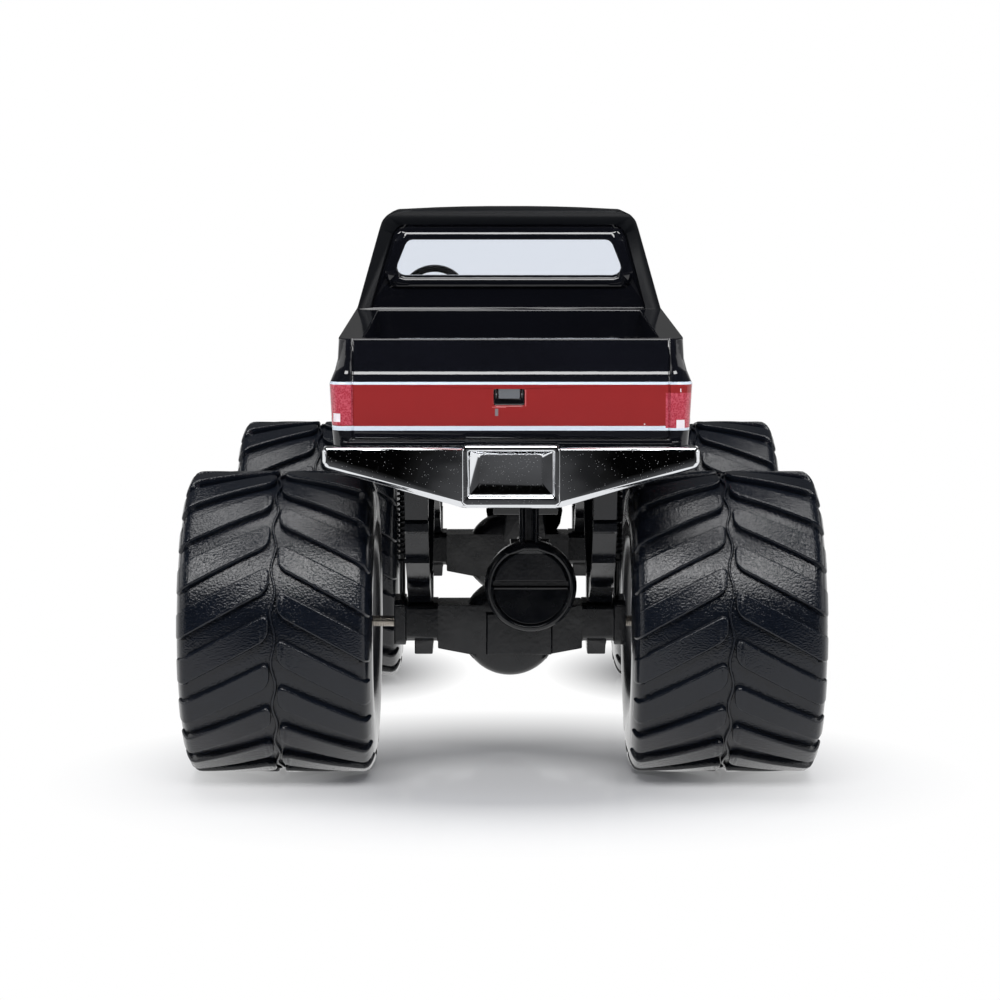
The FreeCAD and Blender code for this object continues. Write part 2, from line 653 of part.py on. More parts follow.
def makeScrew(index):
    """Rivet whose shank seats in the body's post."""
    y, top = postStations[index]
    profile = [(0, 0), (0, 0.8), (0.35, 1.3), (0.7, 1.3), (0.7, screwRadius), (2.6, screwRadius), (2.6, 0)]
    return turned(profile, 8, vec(0, y, frameTopZ - 0.7), vec(0, 0, 1))


def makeHousing(y, face):
    """Axle beam whose deep middle stands before the bowl, with a raised plate on its
    face, spring seats, end flanges and the pin's bore."""
    def section(halfY, low, high, x0, x1):
        c = 0.45
        return prismX([(-halfY, low + c), (-halfY + c, low), (halfY - c, low), (halfY, low + c),
                       (halfY, high - c), (halfY - c, high), (-halfY + c, high), (-halfY, high - c)], x0, x1)

    bowlRadius = 0.417 * axleHalf
    seats = bothSides(section(2.1, beamBottomZ, beamTopZ, seatInnerX, axleHalf - 1.1))
    ends = bothSides(section(2.4, beamBottomZ - 0.35, flangeTopZ, axleHalf - 1.1, axleHalf))
    bowl = turned([(-2.1, 0), (-2.1, bowlRadius - 1.1), (-1.2, bowlRadius), (1.2, bowlRadius),
                   (2.1, bowlRadius - 1.1), (2.1, 0)], 18, vec(0, 0, axleZ - 0.5), vec(0, 1, 0))
    middle = prismY(symmetric([(seatInnerX, beamTopZ - 0.15), (seatInnerX, beamBottomZ - 0.65),
                               (0.36 * axleHalf, beamBottomZ - 1.2)]), -2.2, 2.2)
    plate = box(-0.2 * axleHalf, 0.36 * axleHalf, 0, plateY, beamBottomZ - 1.2, beamTopZ - 0.9)
    perches = bothSides(box(springX - 1.15, springX + 0.55, -1.6, 1.6, beamBottomZ - 1.3, beamBottomZ))
    bore = rodX(-axleHalf - 1, axleHalf + 1, 0, axleZ, pinRadius + runningGap)
    housing = fuse([middle] + seats + ends + [bowl, plate] + perches).cut(bore)
    if face < 0:
        housing = housing.mirror(vec(0, 0, 0), vec(0, 1, 0))
    housing.translate(vec(0, y, 0))
    return housing


def makeDifferential(y, face, housing):
    """Top-loading centre seated on the housing: ribbed cover disc, neck, pinion nose."""
    discZ = axleZ + 3.9
    radius = 0.395 * axleHalf
    disc = turned([(plateY, 0), (plateY, radius), (4.6, radius), (5.0, radius - 0.35), (5.0, radius - 0.6),
                   (4.75, radius - 0.75), (4.75, 0)], 18, vec(shaftX, 0, discZ), vec(0, 1, 0))
    bowl = radius - 1.1
    recess = prismY([(shaftX - bowl, discZ - 0.35), (shaftX - bowl, discZ - 0.35 - bowl),
                     (shaftX + bowl, discZ - 0.35 - bowl), (shaftX + bowl, discZ - 0.35)],
                    4.4, 6, [0, 0.95 * bowl, 0.95 * bowl, 0])
    half = 0.22 * axleHalf
    carrier = prismY([(shaftX - half, axleZ + 1), (shaftX + half, axleZ + 1), (shaftX + half - 0.5, discZ + 3.6),
                      (shaftX - half + 0.5, discZ + 3.6)], -2.3, plateY)
    nose = rod(vec(shaftX, -4.6, pinionZ), vec(shaftX, plateY, pinionZ), 1.4)
    neck = prismZ([(shaftX - 1.05, plateY), (shaftX + 0.75, plateY), (shaftX + 0.75, 4.2), (shaftX + 0.5, 4.6),
                   (shaftX + 0.15, 4.1), (shaftX - 0.45, 4.1), (shaftX - 0.8, 4.6), (shaftX - 1.05, 4.2)],
                  discZ + 3, frameBottomZ + 0.6)
    shape = fuse([disc, carrier, nose, neck]).cut(recess)
    if face < 0:
        shape = shape.mirror(vec(0, 0, 0), vec(0, 1, 0))
    shape.translate(vec(0, y, 0))
    return shape.cut(housing)


def makeLeafSpring(side, axleY):
    """Arched pack: the long leaf on top, shorter ones stepped beneath, a clamp and eyes."""
    leaf = 0.55
    count = 4
    seatZ = beamTopZ + count * leaf
    rise = springEyeZ - seatZ
    radius = (springHalfSpan ** 2 + rise ** 2) / (2 * rise)
    fullAngle = math.asin(springHalfSpan / radius)
    leaves = []
    for index in range(count):
        inner = radius + leaf * index
        outer = inner + leaf
        steps = 8 - 2 * index
        angles = [fullAngle * (1 - 0.25 * index) * (2 * k / steps - 1) for k in range(steps + 1)]
        arc = [(inner * math.sin(a), seatZ + radius - inner * math.cos(a)) for a in angles]
        arc += [(outer * math.sin(a), seatZ + radius - outer * math.cos(a)) for a in reversed(angles)]
        leaves.append(prismX(arc, 0, springWidth))
    eyes = [rod(vec(0, y, springEyeZ), vec(springWidth, y, springEyeZ), 0.7, 6)
            for y in (-springHalfSpan, springHalfSpan)]
    clamp = box(-0.15, springWidth + 0.15, -1.2, 1.2, beamTopZ, seatZ + 0.4)
    spring = fuse(leaves + eyes + [clamp])
    spring.translate(vec(side * springX - springWidth / 2, axleY, 0))
    return spring


def makeShock(side, y):
    """Coil-over outside the spring: four coils and a shaft down to the end flange."""
    bottom = beamTopZ + 0.31 * suspensionHeight
    count = 4
    step = (bracketZ - 0.6 - bottom) / count
    coils = []
    for k in range(count):
        coils += [(bottom + step * k, 0.3), (bottom + step * (k + 0.5), 0.52)]
    profile = [(flangeTopZ, 0), (flangeTopZ, 0.3)] + coils + [(bracketZ, 0.3), (bracketZ, 0)]
    return turned(profile, 8, vec(side * shockX, y, 0), vec(0, 0, 1))


def makeTransferCase():
    """Gearbox block under the middle crossmember with an output stub at each end."""
    case = prismX([(-3.4, -6.6), (3.4, -6.6), (4.4, -4.9), (4.4, -2.4), (3.0, 0.6), (-3.0, 0.6), (-4.4, -2.4),
                   (-4.4, -4.9)], -1.6, 5.0)
    case.translate(vec(0, caseY, frameBottomZ))
    stubs = rod(vec(shaftX, caseY - 5.2, shaftZ), vec(shaftX, caseY + 5.2, shaftZ), 0.95)
    return fuse([case, stubs])


def makeShaft(y, face):
    """Tube from the case's stub down to the pinion nose, between its two yokes."""
    start = vec(shaftX, caseY + face * 5.25, shaftZ)
    end = vec(shaftX, y - face * 4.65, pinionZ)
    yoke0 = start + vec(0, face * 1.1, 0)
    yoke1 = end - vec(0, face * 1.1, 0)
    return fuse([rod(start, yoke0, 0.75, 6), rod(yoke0, yoke1, 0.55, 6), rod(yoke1, end, 0.75, 6)])


tub = makeTub()
parts = {
    "body_casting": makeBody(),
    "window_insert": makeGlass(),
    "interior_tub": tub,
    "steering_wheel": makeSteeringWheel(tub),
    "front_grille": makeGrille(),
    "headlamp_left": makeHeadlamp(-1),
    "headlamp_right": makeHeadlamp(1),
    "rear_bumper": makeRearBumper(),
    "front_bumper": makeFrontBumper(),
    "chassis_frame": makeFrame(),
    "base_screw_rear": makeScrew(0),
    "base_screw_front": makeScrew(1),
    "transfer_case": makeTransferCase(),
}
for axleName, axleY, face in axleStations:
    shift = -endPlay if axleName == "rear" else 0
    housing = makeHousing(axleY, face)
    parts[axleName + "_axle_housing"] = housing
    parts[axleName + "_differential"] = makeDifferential(axleY, face, housing)
    parts[axleName + "_drive_shaft"] = makeShaft(axleY, face)
    parts[axleName + "_axle_pin"] = makePin(axleY, shift)
    for sideName, side in (("left", -1), ("right", 1)):
        corner = axleName + "_" + sideName
        wheelX = side * trackWidth / 2 + shift
        parts["leaf_spring_" + corner] = makeLeafSpring(side, axleY)
        parts["coil_shock_" + corner] = makeShock(side, axleY)
        parts["tyre_" + corner] = makeTyre(wheelX, axleY)
        parts["rim_" + corner] = makeRim(side, wheelX, axleY)
        parts["hub_" + corner] = makeHub(side, wheelX, axleY)

os.makedirs("parts", exist_ok=True)
for name, shape in parts.items():
    shape.exportStep("parts/" + name + ".step")
    print(name, shape.isValid(), round(shape.Volume, 2), len(shape.Solids))
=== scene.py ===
import json
import math

import bmesh
import bpy
from mathutils import Matrix, Vector


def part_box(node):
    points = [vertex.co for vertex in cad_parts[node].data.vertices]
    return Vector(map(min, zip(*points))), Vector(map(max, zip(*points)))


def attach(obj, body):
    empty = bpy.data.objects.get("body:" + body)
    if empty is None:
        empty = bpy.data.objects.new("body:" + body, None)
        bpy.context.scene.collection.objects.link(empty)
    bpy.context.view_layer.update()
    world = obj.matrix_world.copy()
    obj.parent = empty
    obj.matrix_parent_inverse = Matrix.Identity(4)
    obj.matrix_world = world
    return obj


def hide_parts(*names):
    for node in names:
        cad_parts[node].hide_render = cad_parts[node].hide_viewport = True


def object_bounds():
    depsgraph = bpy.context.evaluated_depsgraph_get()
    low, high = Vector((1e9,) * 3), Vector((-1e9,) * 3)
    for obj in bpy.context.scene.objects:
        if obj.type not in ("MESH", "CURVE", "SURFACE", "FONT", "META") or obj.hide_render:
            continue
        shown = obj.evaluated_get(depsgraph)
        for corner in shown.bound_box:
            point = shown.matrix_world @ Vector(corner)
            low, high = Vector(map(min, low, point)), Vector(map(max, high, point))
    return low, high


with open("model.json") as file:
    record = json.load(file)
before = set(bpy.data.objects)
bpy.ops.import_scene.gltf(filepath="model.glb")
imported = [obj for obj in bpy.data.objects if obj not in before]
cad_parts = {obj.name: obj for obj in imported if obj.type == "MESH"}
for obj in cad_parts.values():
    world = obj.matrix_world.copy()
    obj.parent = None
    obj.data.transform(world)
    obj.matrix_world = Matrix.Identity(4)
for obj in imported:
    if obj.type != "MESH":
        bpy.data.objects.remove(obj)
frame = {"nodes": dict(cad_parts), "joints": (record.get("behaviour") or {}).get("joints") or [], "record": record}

# Toy monster truck seen from behind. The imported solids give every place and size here:
# metres, +Y forwards, +Z up, ground at z = 0. Settings are in millimetres and degrees.

mm = 0.001
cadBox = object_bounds()
wheels = ["rear_left", "rear_right", "front_left", "front_right"]


def report(stage):
    print("stage:", stage)


def linear(code):
    # sRGB hex to the linear colour that a shader takes
    channels = [int(code[i:i + 2], 16) / 255 for i in (1, 3, 5)]
    light = [c / 12.92 if c <= 0.04045 else ((c + 0.055) / 1.055) ** 2.4 for c in channels]
    return (*light, 1.0)


def addNode(tree, kind, settings=None, links=None):
    # an input goes by its name or number; those of a Map Range, 1 to 4, are its from and to
    node = tree.nodes.new(kind)
    for key, value in (settings or {}).items():
        if isinstance(key, int) or key in node.inputs:
            node.inputs[key].default_value = value
        else:
            setattr(node, key, value)
    for key, socket in (links or {}).items():
        tree.links.new(socket, node.inputs[key])
    return node


def newMaterial(name, settings):
    # a Principled surface, with its object coordinates ready for patterns
    material = bpy.data.materials.new(name)
    material.use_nodes = True
    tree = material.node_tree
    tree.nodes.clear()
    output = addNode(tree, "ShaderNodeOutputMaterial")
    shader = addNode(tree, "ShaderNodeBsdfPrincipled", settings)
    tree.links.new(shader.outputs[0], output.inputs["Surface"])
    place = addNode(tree, "ShaderNodeTexCoord").outputs["Object"]
    return material, tree, shader, place


# Finishes: the size across of each pattern, and the depth of each bump

patternSize = {
    "enamelCloud": 9, "enamelRipple": 1.6, "lampFlake": 0.16, "satinGrain": 0.12,
    "vinylPatch": 5.0, "vinylGrain": 0.17, "flowMark": 2.2, "mouldSkin": 0.4, "platingSpeck": 0.2,
    "platingRipple": 3.0, "wireRing": 0.5, "windowRipple": 5.0, "lensPrism": 1.6,
}
bumpDepth = {
    "enamelRipple": 0.018, "satinGrain": 0.014, "vinylGrain": 0.05, "mouldSkin": 0.012,
    "platingRipple": 0.03, "wireRing": 0.006, "windowRipple": 0.01, "lensPrism": 0.06,
}
noiseRange = {1: 0.3, 2: 0.7}                   # where most of a noise texture's values lie


def scaleOf(pattern):
    # texture scale at which the pattern comes out at its real size
    return 1 / (patternSize[pattern] * mm)


def addBump(tree, shader, height, pattern):
    bump = addNode(tree, "ShaderNodeBump", {"Distance": bumpDepth[pattern] * mm},
                   {"Height": height})
    tree.links.new(bump.outputs[0], shader.inputs["Normal"])


# Paint and print on the casting

bodyLow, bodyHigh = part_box("body_casting")
tail = bodyLow.y / mm
nose = bodyHigh.y / mm
flank = bodyHigh.x / mm
gate = (tail - 1, tail + 1.4)                   # depth that the print reaches at the corners
livery = {
    "black": "#0E0F13", "blackCloud": "#121319",
    # the bed and cab inside these limits stay without print
    "inner": {0: (1.1 - flank, flank - 1.1), 1: (tail + 0.36, nose - 0.36)},
    # heights and colours of the bands right round the body
    "bands": [((34.2, 37.85), "#902A2A"), ((33.8, 34.2), "#D6E0EA"), ((37.85, 38.08), "#CDD8E4")],
    # lamps: across, along and up
    "lamps": [{0: (-16.4, -13.9), 1: gate, 2: (34.3, 37.85)},
              {0: (13.6, 16.4), 1: gate, 2: (34.02, 37.12)}],
    "lampRed": "#971C2B", "lampFlake": "#C85C6A",
    "marks": [
        ({0: (-15.62, -15.0), 1: gate, 2: (34.56, 35.3)}, "#F0E6EA"),      # lamps' squares
        ({0: (14.55, 15.28), 1: gate, 2: (33.98, 34.74)}, "#F0E6EA"),
        ({0: (14.86, 14.95), 1: gate, 2: (37.2, 37.5)}, "#E0D6DA"),        # slash over the right
        ({0: (-1.5, 1.18), 1: (tail + 0.02, tail + 1), 2: (36.04, 37.45)}, "#0E0F13"),
        ({0: (-1.66, -0.43), 1: gate, 2: (35.84, 35.9)}, "#C8686A"),       # painted highlight on the rim of the handle's well: pale red line above, and its two edges
        ({0: (1.26, 1.33), 1: gate, 2: (35.95, 37.4)}, "#C8686A"),         # and its two edges
        ({0: (-1.4, -1.12), 1: gate, 2: (35.1, 35.74)}, "#80787A"),        # wedge below it
        ({0: (11.7, 11.8), 1: gate, 2: (34.32, 34.42)}, "#E8D8D8"),        # stray dot
        # bar of the handle in its well
        ({0: (-1.12, 0.8), 1: (tail + 0.15, tail + 0.25), 2: (36.6, 37.5)}, "#6A6D70")],
}


def spanMask(tree, xyz, spans):
    # 1 where a point lies inside the span given for each axis
    mask = None
    for axis, (low, high) in spans.items():
        middle, reach = (low + high) / 2 * mm, (high - low) / 2 * mm
        within = addNode(tree, "ShaderNodeMath", {"operation": "COMPARE", 1: middle, 2: reach},
                         {0: xyz.outputs[axis]})
        if mask is not None:
            within = addNode(tree, "ShaderNodeMath", {"operation": "MULTIPLY"},
                             {0: mask, 1: within.outputs[0]})
        mask = within.outputs[0]
    return mask


def glossPaint():
    # Stove enamel on die-cast zinc: wet gloss with a slow ripple, and pad-printed bands on top.
    material, tree, shader, place = newMaterial("gloss_enamel_on_zinc", {
        "Roughness": 0.055, "IOR": 1.5, "Coat Weight": 0.25, "Coat Roughness": 0.03})
    xyz = addNode(tree, "ShaderNodeSeparateXYZ", links={0: place})
    inner = spanMask(tree, xyz, livery["inner"])
    skin = addNode(tree, "ShaderNodeMath", {"operation": "SUBTRACT", 0: 1.0}, {1: inner})
    cloud = addNode(tree, "ShaderNodeTexNoise", {"Scale": scaleOf("enamelCloud"), "Detail": 2.0},
                    {"Vector": place})
    colour = addNode(tree, "ShaderNodeMix", {"data_type": "RGBA", 6: linear(livery["black"]),
                                             7: linear(livery["blackCloud"])},
                     {0: cloud.outputs[0]})
    for span, code in livery["bands"]:
        laid = addNode(tree, "ShaderNodeMath", {"operation": "MULTIPLY"},
                       {0: skin.outputs[0], 1: spanMask(tree, xyz, {2: span})})
        colour = addNode(tree, "ShaderNodeMix", {"data_type": "RGBA", 7: linear(code)},
                         {0: laid.outputs[0], 6: colour.outputs[2]})
    flake = addNode(tree, "ShaderNodeTexVoronoi", {"Scale": scaleOf("lampFlake")},
                    {"Vector": place})
    lampRed = addNode(tree, "ShaderNodeMix", {"data_type": "RGBA", 6: linear(livery["lampRed"]),
                                              7: linear(livery["lampFlake"])},
                      {0: flake.outputs["Distance"]})
    for spans in livery["lamps"]:
        laid = addNode(tree, "ShaderNodeMath", {"operation": "MULTIPLY"},
                       {0: skin.outputs[0], 1: spanMask(tree, xyz, spans)})
        colour = addNode(tree, "ShaderNodeMix", {"data_type": "RGBA"},
                         {0: laid.outputs[0], 6: colour.outputs[2], 7: lampRed.outputs[2]})
    for spans, code in livery["marks"]:
        colour = addNode(tree, "ShaderNodeMix", {"data_type": "RGBA", 7: linear(code)},
                         {0: spanMask(tree, xyz, spans), 6: colour.outputs[2]})
    tree.links.new(colour.outputs[2], shader.inputs["Base Color"])
    ripple = addNode(tree, "ShaderNodeTexNoise", {"Scale": scaleOf("enamelRipple"), "Detail": 2.0},
                     {"Vector": place})
    addBump(tree, shader, ripple.outputs[0], "enamelRipple")
    return material


def satinPaint():
    # Masked matt paint sprayed over the roof and pillars: soft dry sheen, fine grain.
    material, tree, shader, place = newMaterial("satin_paint_on_zinc", {
        "Base Color": linear("#0C0E12"), "Roughness": 0.5, "IOR": 1.5,
        "Specular IOR Level": 0.15})
    grain = addNode(tree, "ShaderNodeTexNoise", {"Scale": scaleOf("satinGrain"), "Detail": 4.0},
                    {"Vector": place})
    addBump(tree, shader, grain.outputs[0], "satinGrain")
    return material


def softVinyl():
    # Injection-moulded soft vinyl of the tyres: blue-black, half gloss, with a grained skin.
    material, tree, shader, place = newMaterial("moulded_soft_vinyl", {
        "IOR": 1.5, "Specular IOR Level": 0.4})
    patches = addNode(tree, "ShaderNodeTexNoise", {"Scale": scaleOf("vinylPatch"), "Detail": 1.0},
                      {"Vector": place})
    grain = addNode(tree, "ShaderNodeTexNoise", {"Scale": scaleOf("vinylGrain"), "Detail": 2.0},
                    {"Vector": place})
    colour = addNode(tree, "ShaderNodeMix", {"data_type": "RGBA", 6: linear("#0B0F16"),
                                             7: linear("#10141C")}, {0: patches.outputs[0]})
    tree.links.new(colour.outputs[2], shader.inputs["Base Color"])
    sheen = addNode(tree, "ShaderNodeMapRange", {**noiseRange, 3: 0.13, 4: 0.2},
                    {0: patches.outputs[0]})
    tree.links.new(sheen.outputs[0], shader.inputs["Roughness"])
    # the tread is grained, the side walls, which face along X, come smooth from the tool
    surface = addNode(tree, "ShaderNodeNewGeometry")
    normal = addNode(tree, "ShaderNodeSeparateXYZ", links={0: surface.outputs["Normal"]})
    sideways = addNode(tree, "ShaderNodeMath", {"operation": "ABSOLUTE"}, {0: normal.outputs[0]})
    grained = addNode(tree, "ShaderNodeMapRange", {1: 0.5, 2: 0.85, 3: 1.0, 4: 0.08},
                      {0: sideways.outputs[0]})
    height = addNode(tree, "ShaderNodeMath", {"operation": "MULTIPLY"},
                     {0: grain.outputs[0], 1: grained.outputs[0]})
    addBump(tree, shader, height.outputs[0], "vinylGrain")
    return material


def mouldedBlack(name, code, roughness):
    # Black plastic straight from the tool: smooth, a little milky, faint flow marks.
    material, tree, shader, place = newMaterial(name, {
        "Base Color": linear(code), "IOR": 1.53, "Specular IOR Level": 0.4})
    flow = addNode(tree, "ShaderNodeTexNoise", {"Scale": scaleOf("flowMark"), "Detail": 3.0},
                   {"Vector": place})
    gloss = addNode(tree, "ShaderNodeMapRange", {**noiseRange, 3: roughness - 0.07,
                                                 4: roughness + 0.09}, {0: flow.outputs[0]})
    tree.links.new(gloss.outputs[0], shader.inputs["Roughness"])
    skin = addNode(tree, "ShaderNodeTexNoise", {"Scale": scaleOf("mouldSkin"), "Detail": 3.0},
                   {"Vector": place})
    addBump(tree, shader, skin.outputs[0], "mouldSkin")
    return material


def chromePlate():
    # Vacuum-plated ABS: a mirror over a skin with pin-prick specks.
    material, tree, shader, place = newMaterial("vacuum_plated_chrome", {
        "Base Color": linear("#E4E6E9"), "Metallic": 1.0})
    specks = addNode(tree, "ShaderNodeTexVoronoi", {"Scale": scaleOf("platingSpeck")},
                     {"Vector": place})
    # each speck is full at its middle and gone at a quarter of the spacing, some duller than others
    pricks = addNode(tree, "ShaderNodeMapRange", {1: 0.08, 2: 0.24, 3: 1.0, 4: 0.0},
                     {0: specks.outputs["Distance"]})
    varied = addNode(tree, "ShaderNodeMath", {"operation": "MULTIPLY"},
                     {0: pricks.outputs[0], 1: specks.outputs["Color"]})
    dulled = addNode(tree, "ShaderNodeMapRange", {1: 0.0, 2: 0.8, 3: 0.035, 4: 0.45},
                     {0: varied.outputs[0]})
    tree.links.new(dulled.outputs[0], shader.inputs["Roughness"])
    ripple = addNode(tree, "ShaderNodeTexNoise", {"Scale": scaleOf("platingRipple"),
                                                  "Detail": 1.0}, {"Vector": place})
    addBump(tree, shader, ripple.outputs[0], "platingRipple")
    return material


def steelWire():
    # Drawn steel wire, lightly scored round its length.
    material, tree, shader, place = newMaterial("drawn_steel_wire", {
        "Base Color": linear("#B9B2A8"), "Metallic": 1.0, "Roughness": 0.26})
    rings = addNode(tree, "ShaderNodeTexWave", {"Scale": scaleOf("wireRing"), "Distortion": 2.0,
                                                "bands_direction": "X"}, {"Vector": place})
    addBump(tree, shader, rings.outputs[1], "wireRing")
    return material


def clearStyrene():
    # Clear polystyrene window moulding: thin, a touch cold.
    material, tree, shader, place = newMaterial("clear_polystyrene", {
        "Base Color": linear("#EEF1F6"), "Transmission Weight": 1.0, "Roughness": 0.015,
        "IOR": 1.2})
    ripple = addNode(tree, "ShaderNodeTexNoise", {"Scale": scaleOf("windowRipple"), "Detail": 1.0},
                     {"Vector": place})
    addBump(tree, shader, ripple.outputs[0], "windowRipple")
    return material


def lampLens():
    # Clear lens with vertical prisms over a silvered seat.
    material, tree, shader, place = newMaterial("ribbed_lamp_lens", {
        "Base Color": linear("#D8DCE0"), "Metallic": 0.35, "Roughness": 0.12, "Coat Weight": 0.6})
    prisms = addNode(tree, "ShaderNodeTexWave", {"Scale": scaleOf("lensPrism"),
                                                 "bands_direction": "X"}, {"Vector": place})
    addBump(tree, shader, prisms.outputs[1], "lensPrism")
    return material


materials = {
    "body_paint": glossPaint(), "roof_paint": satinPaint(), "tyre": softVinyl(),
    "chassis_plastic": mouldedBlack("black_abs_moulding", "#0E1014", 0.22),
    "interior_plastic": mouldedBlack("black_styrene_moulding", "#0C0C0F", 0.4),
    "chrome": chromePlate(), "steel": steelWire(), "window_plastic": clearStyrene(),
    "lamp_lens": lampLens(),
}
report("materials")


# Pieces

casting = {
    "mergeWithin": 0.0005, "flatWithin": 0.6,   # what makes one face of a solid's triangles
    "angle": 32, "segments": 3,                 # corners sharper than this are rounded, in steps
    "room": 2.4,                                # width of face that a corner needs, in radii
    "poleWithin": 0.002,                        # what closes a turned form on its axis
}


def finishPiece(bm, name, body, slot, replaced):
    # turns a finished bmesh into a piece that rides its body
    mesh = bpy.data.meshes.new(name)
    bm.to_mesh(mesh)
    bm.free()
    for polygon in mesh.polygons:
        polygon.use_smooth = True
    piece = bpy.data.objects.new(name, mesh)
    bpy.context.scene.collection.objects.link(piece)
    mesh.materials.append(materials[slot])
    weighted = piece.modifiers.new("even_normals", "WEIGHTED_NORMAL")
    weighted.keep_sharp = True
    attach(piece, body)
    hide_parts(*replaced)
    return piece


def addMesh(bm, extra):
    # moves the finished form into another one
    mesh = bpy.data.meshes.new("extra")
    extra.to_mesh(mesh)
    extra.free()
    bm.from_mesh(mesh)
    bpy.data.meshes.remove(mesh)


def roomBeside(edge, face):
    # how far a face reaches away from one of its edges
    start = edge.verts[0].co
    along = (edge.verts[1].co - start).normalized()
    return max((v.co - start).cross(along).length for v in face.verts)


def softenEdges(bm, radius, angle=casting["angle"], segments=casting["segments"], low=None,
                high=None):
    # rounds the corners that have room for it, in all of a casting or inside a box
    corners = [e for e in bm.edges if len(e.link_faces) == 2
               and e.calc_face_angle() > math.radians(angle)
               and min(roomBeside(e, f) for f in e.link_faces) > casting["room"] * radius]
    if low:
        corners = [e for e in corners
                   if all(low[k] * mm < v.co[k] < high[k] * mm for v in e.verts for k in range(3))]
    bmesh.ops.bevel(bm, geom=corners, affect="EDGES", offset=radius, offset_type="OFFSET",
                    segments=segments, profile=0.5, clamp_overlap=False, material=-1)


def solidOf(node):
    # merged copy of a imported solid, its flat faces whole but split where they are hollow
    bm = bmesh.new()
    bm.from_mesh(frame["nodes"][node].data)
    bmesh.ops.remove_doubles(bm, verts=bm.verts, dist=casting["mergeWithin"] * mm)
    bmesh.ops.dissolve_limit(bm, angle_limit=math.radians(casting["flatWithin"]), verts=bm.verts,
                             edges=bm.edges)
    bmesh.ops.connect_verts_concave(bm, faces=bm.faces)
    return bm


def lathe(bm, outline, steps):
    # turns a closed outline of (along X, radius) points about the X axis
    verts = [bm.verts.new((x * mm, 0, r * mm)) for x, r in outline]
    edges = [bm.edges.new((verts[i - 1], verts[i])) for i in range(len(verts))]
    bmesh.ops.spin(bm, geom=verts + edges, axis=(1, 0, 0), cent=(0, 0, 0), dvec=(0, 0, 0),
                   angle=math.tau, steps=steps, use_merge=True)


# Tyres: forty lugs on a bulged carcass

tyreLow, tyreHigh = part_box("tyre_rear_left")
rimLow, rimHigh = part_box("rim_rear_left")
tyre = {
    "radius": (tyreHigh.z - tyreLow.z) / 2 / mm, "half": (tyreHigh.x - tyreLow.x) / 2 / mm,
    "bead": 6.22, "steps": 120,
    # line of the lug tops: share of the half width, and drop below the radius
    "crown": [(0.0, 0.0), (0.5, 0.01), (0.84, 0.05), (0.892, 0.1), (0.92, 0.25), (0.95, 0.62),
              (0.975, 1.1), (0.99, 1.7)],
    # carcass: share and drop as above but from the floor between the lugs, then distance in
    # from the full width with that drop, then with the height above the bead
    "floor": [(0, 0), (0.5, 0.01), (0.84, 0.08), (0.9, 0.2), (0.935, 0.45), (0.965, 0.95),
              (0.988, 1.6)],
    "wall": [(0.04, 2.3), (0.01, 3.0), (0.05, 3.8), (0.2, 4.6)],
    "foot": [(0.48, 2.0), (0.85, 1.3), (1.2, 0.8), (1.3, 0.6), (1.52, 0.42), (1.6, 0)],
    "lugs": 20, "lugHeight": 0.62, "lugRoot": 0.5, "lugWidth": 2.45, "lugEdge": 0.2,
    "tipRadius": 0.8, "heelRadius": 0.35,
    "flatLength": 10.0, "cuts": 24,             # of the lug before it is bent, and across it
    "tipAt": 0.035,                             # share of the half width where a lug starts
    "tipWidth": 0.96, "widening": 0.1,          # share of the width at the tip, and gain outwards
    "draft": 0.1,                               # gain in width from the top to the foot
    "startTurn": 1.0, "turnPerHalf": 19.4,      # how far a lug sweeps back
    # thin raised seam that winds between the lug tips: across and drop, then how it winds
    "seam": [(-0.16, 1), (0.16, 1), (0.13, 0.07), (0.05, 0), (-0.05, 0), (-0.13, 0.07)],
    "seamDrop": 0.3, "seamSteps": 160, "seamSwing": 0.2, "seamPhase": 0.6,
}


def treadLine(share):
    # point and outward direction on the line of the lug tops, by share of its length
    line = [Vector((across * tyre["half"], tyre["radius"] - drop))
            for across, drop in tyre["crown"]]
    lengths = [(b - a).length for a, b in zip(line, line[1:])]
    left = share * sum(lengths)
    for index, length in enumerate(lengths):
        if left <= length or index == len(lengths) - 1:
            break
        left -= length
    part = left / length
    slopes = [(b - a).normalized() for a, b in zip(line, line[1:])]
    before = slopes[max(index - 1, 0)] + slopes[index]
    after = slopes[index] + slopes[min(index + 1, len(slopes) - 1)]
    along = before.normalized().lerp(after.normalized(), part).normalized()
    return line[index].lerp(line[index + 1], part), Vector((-along.y, along.x))


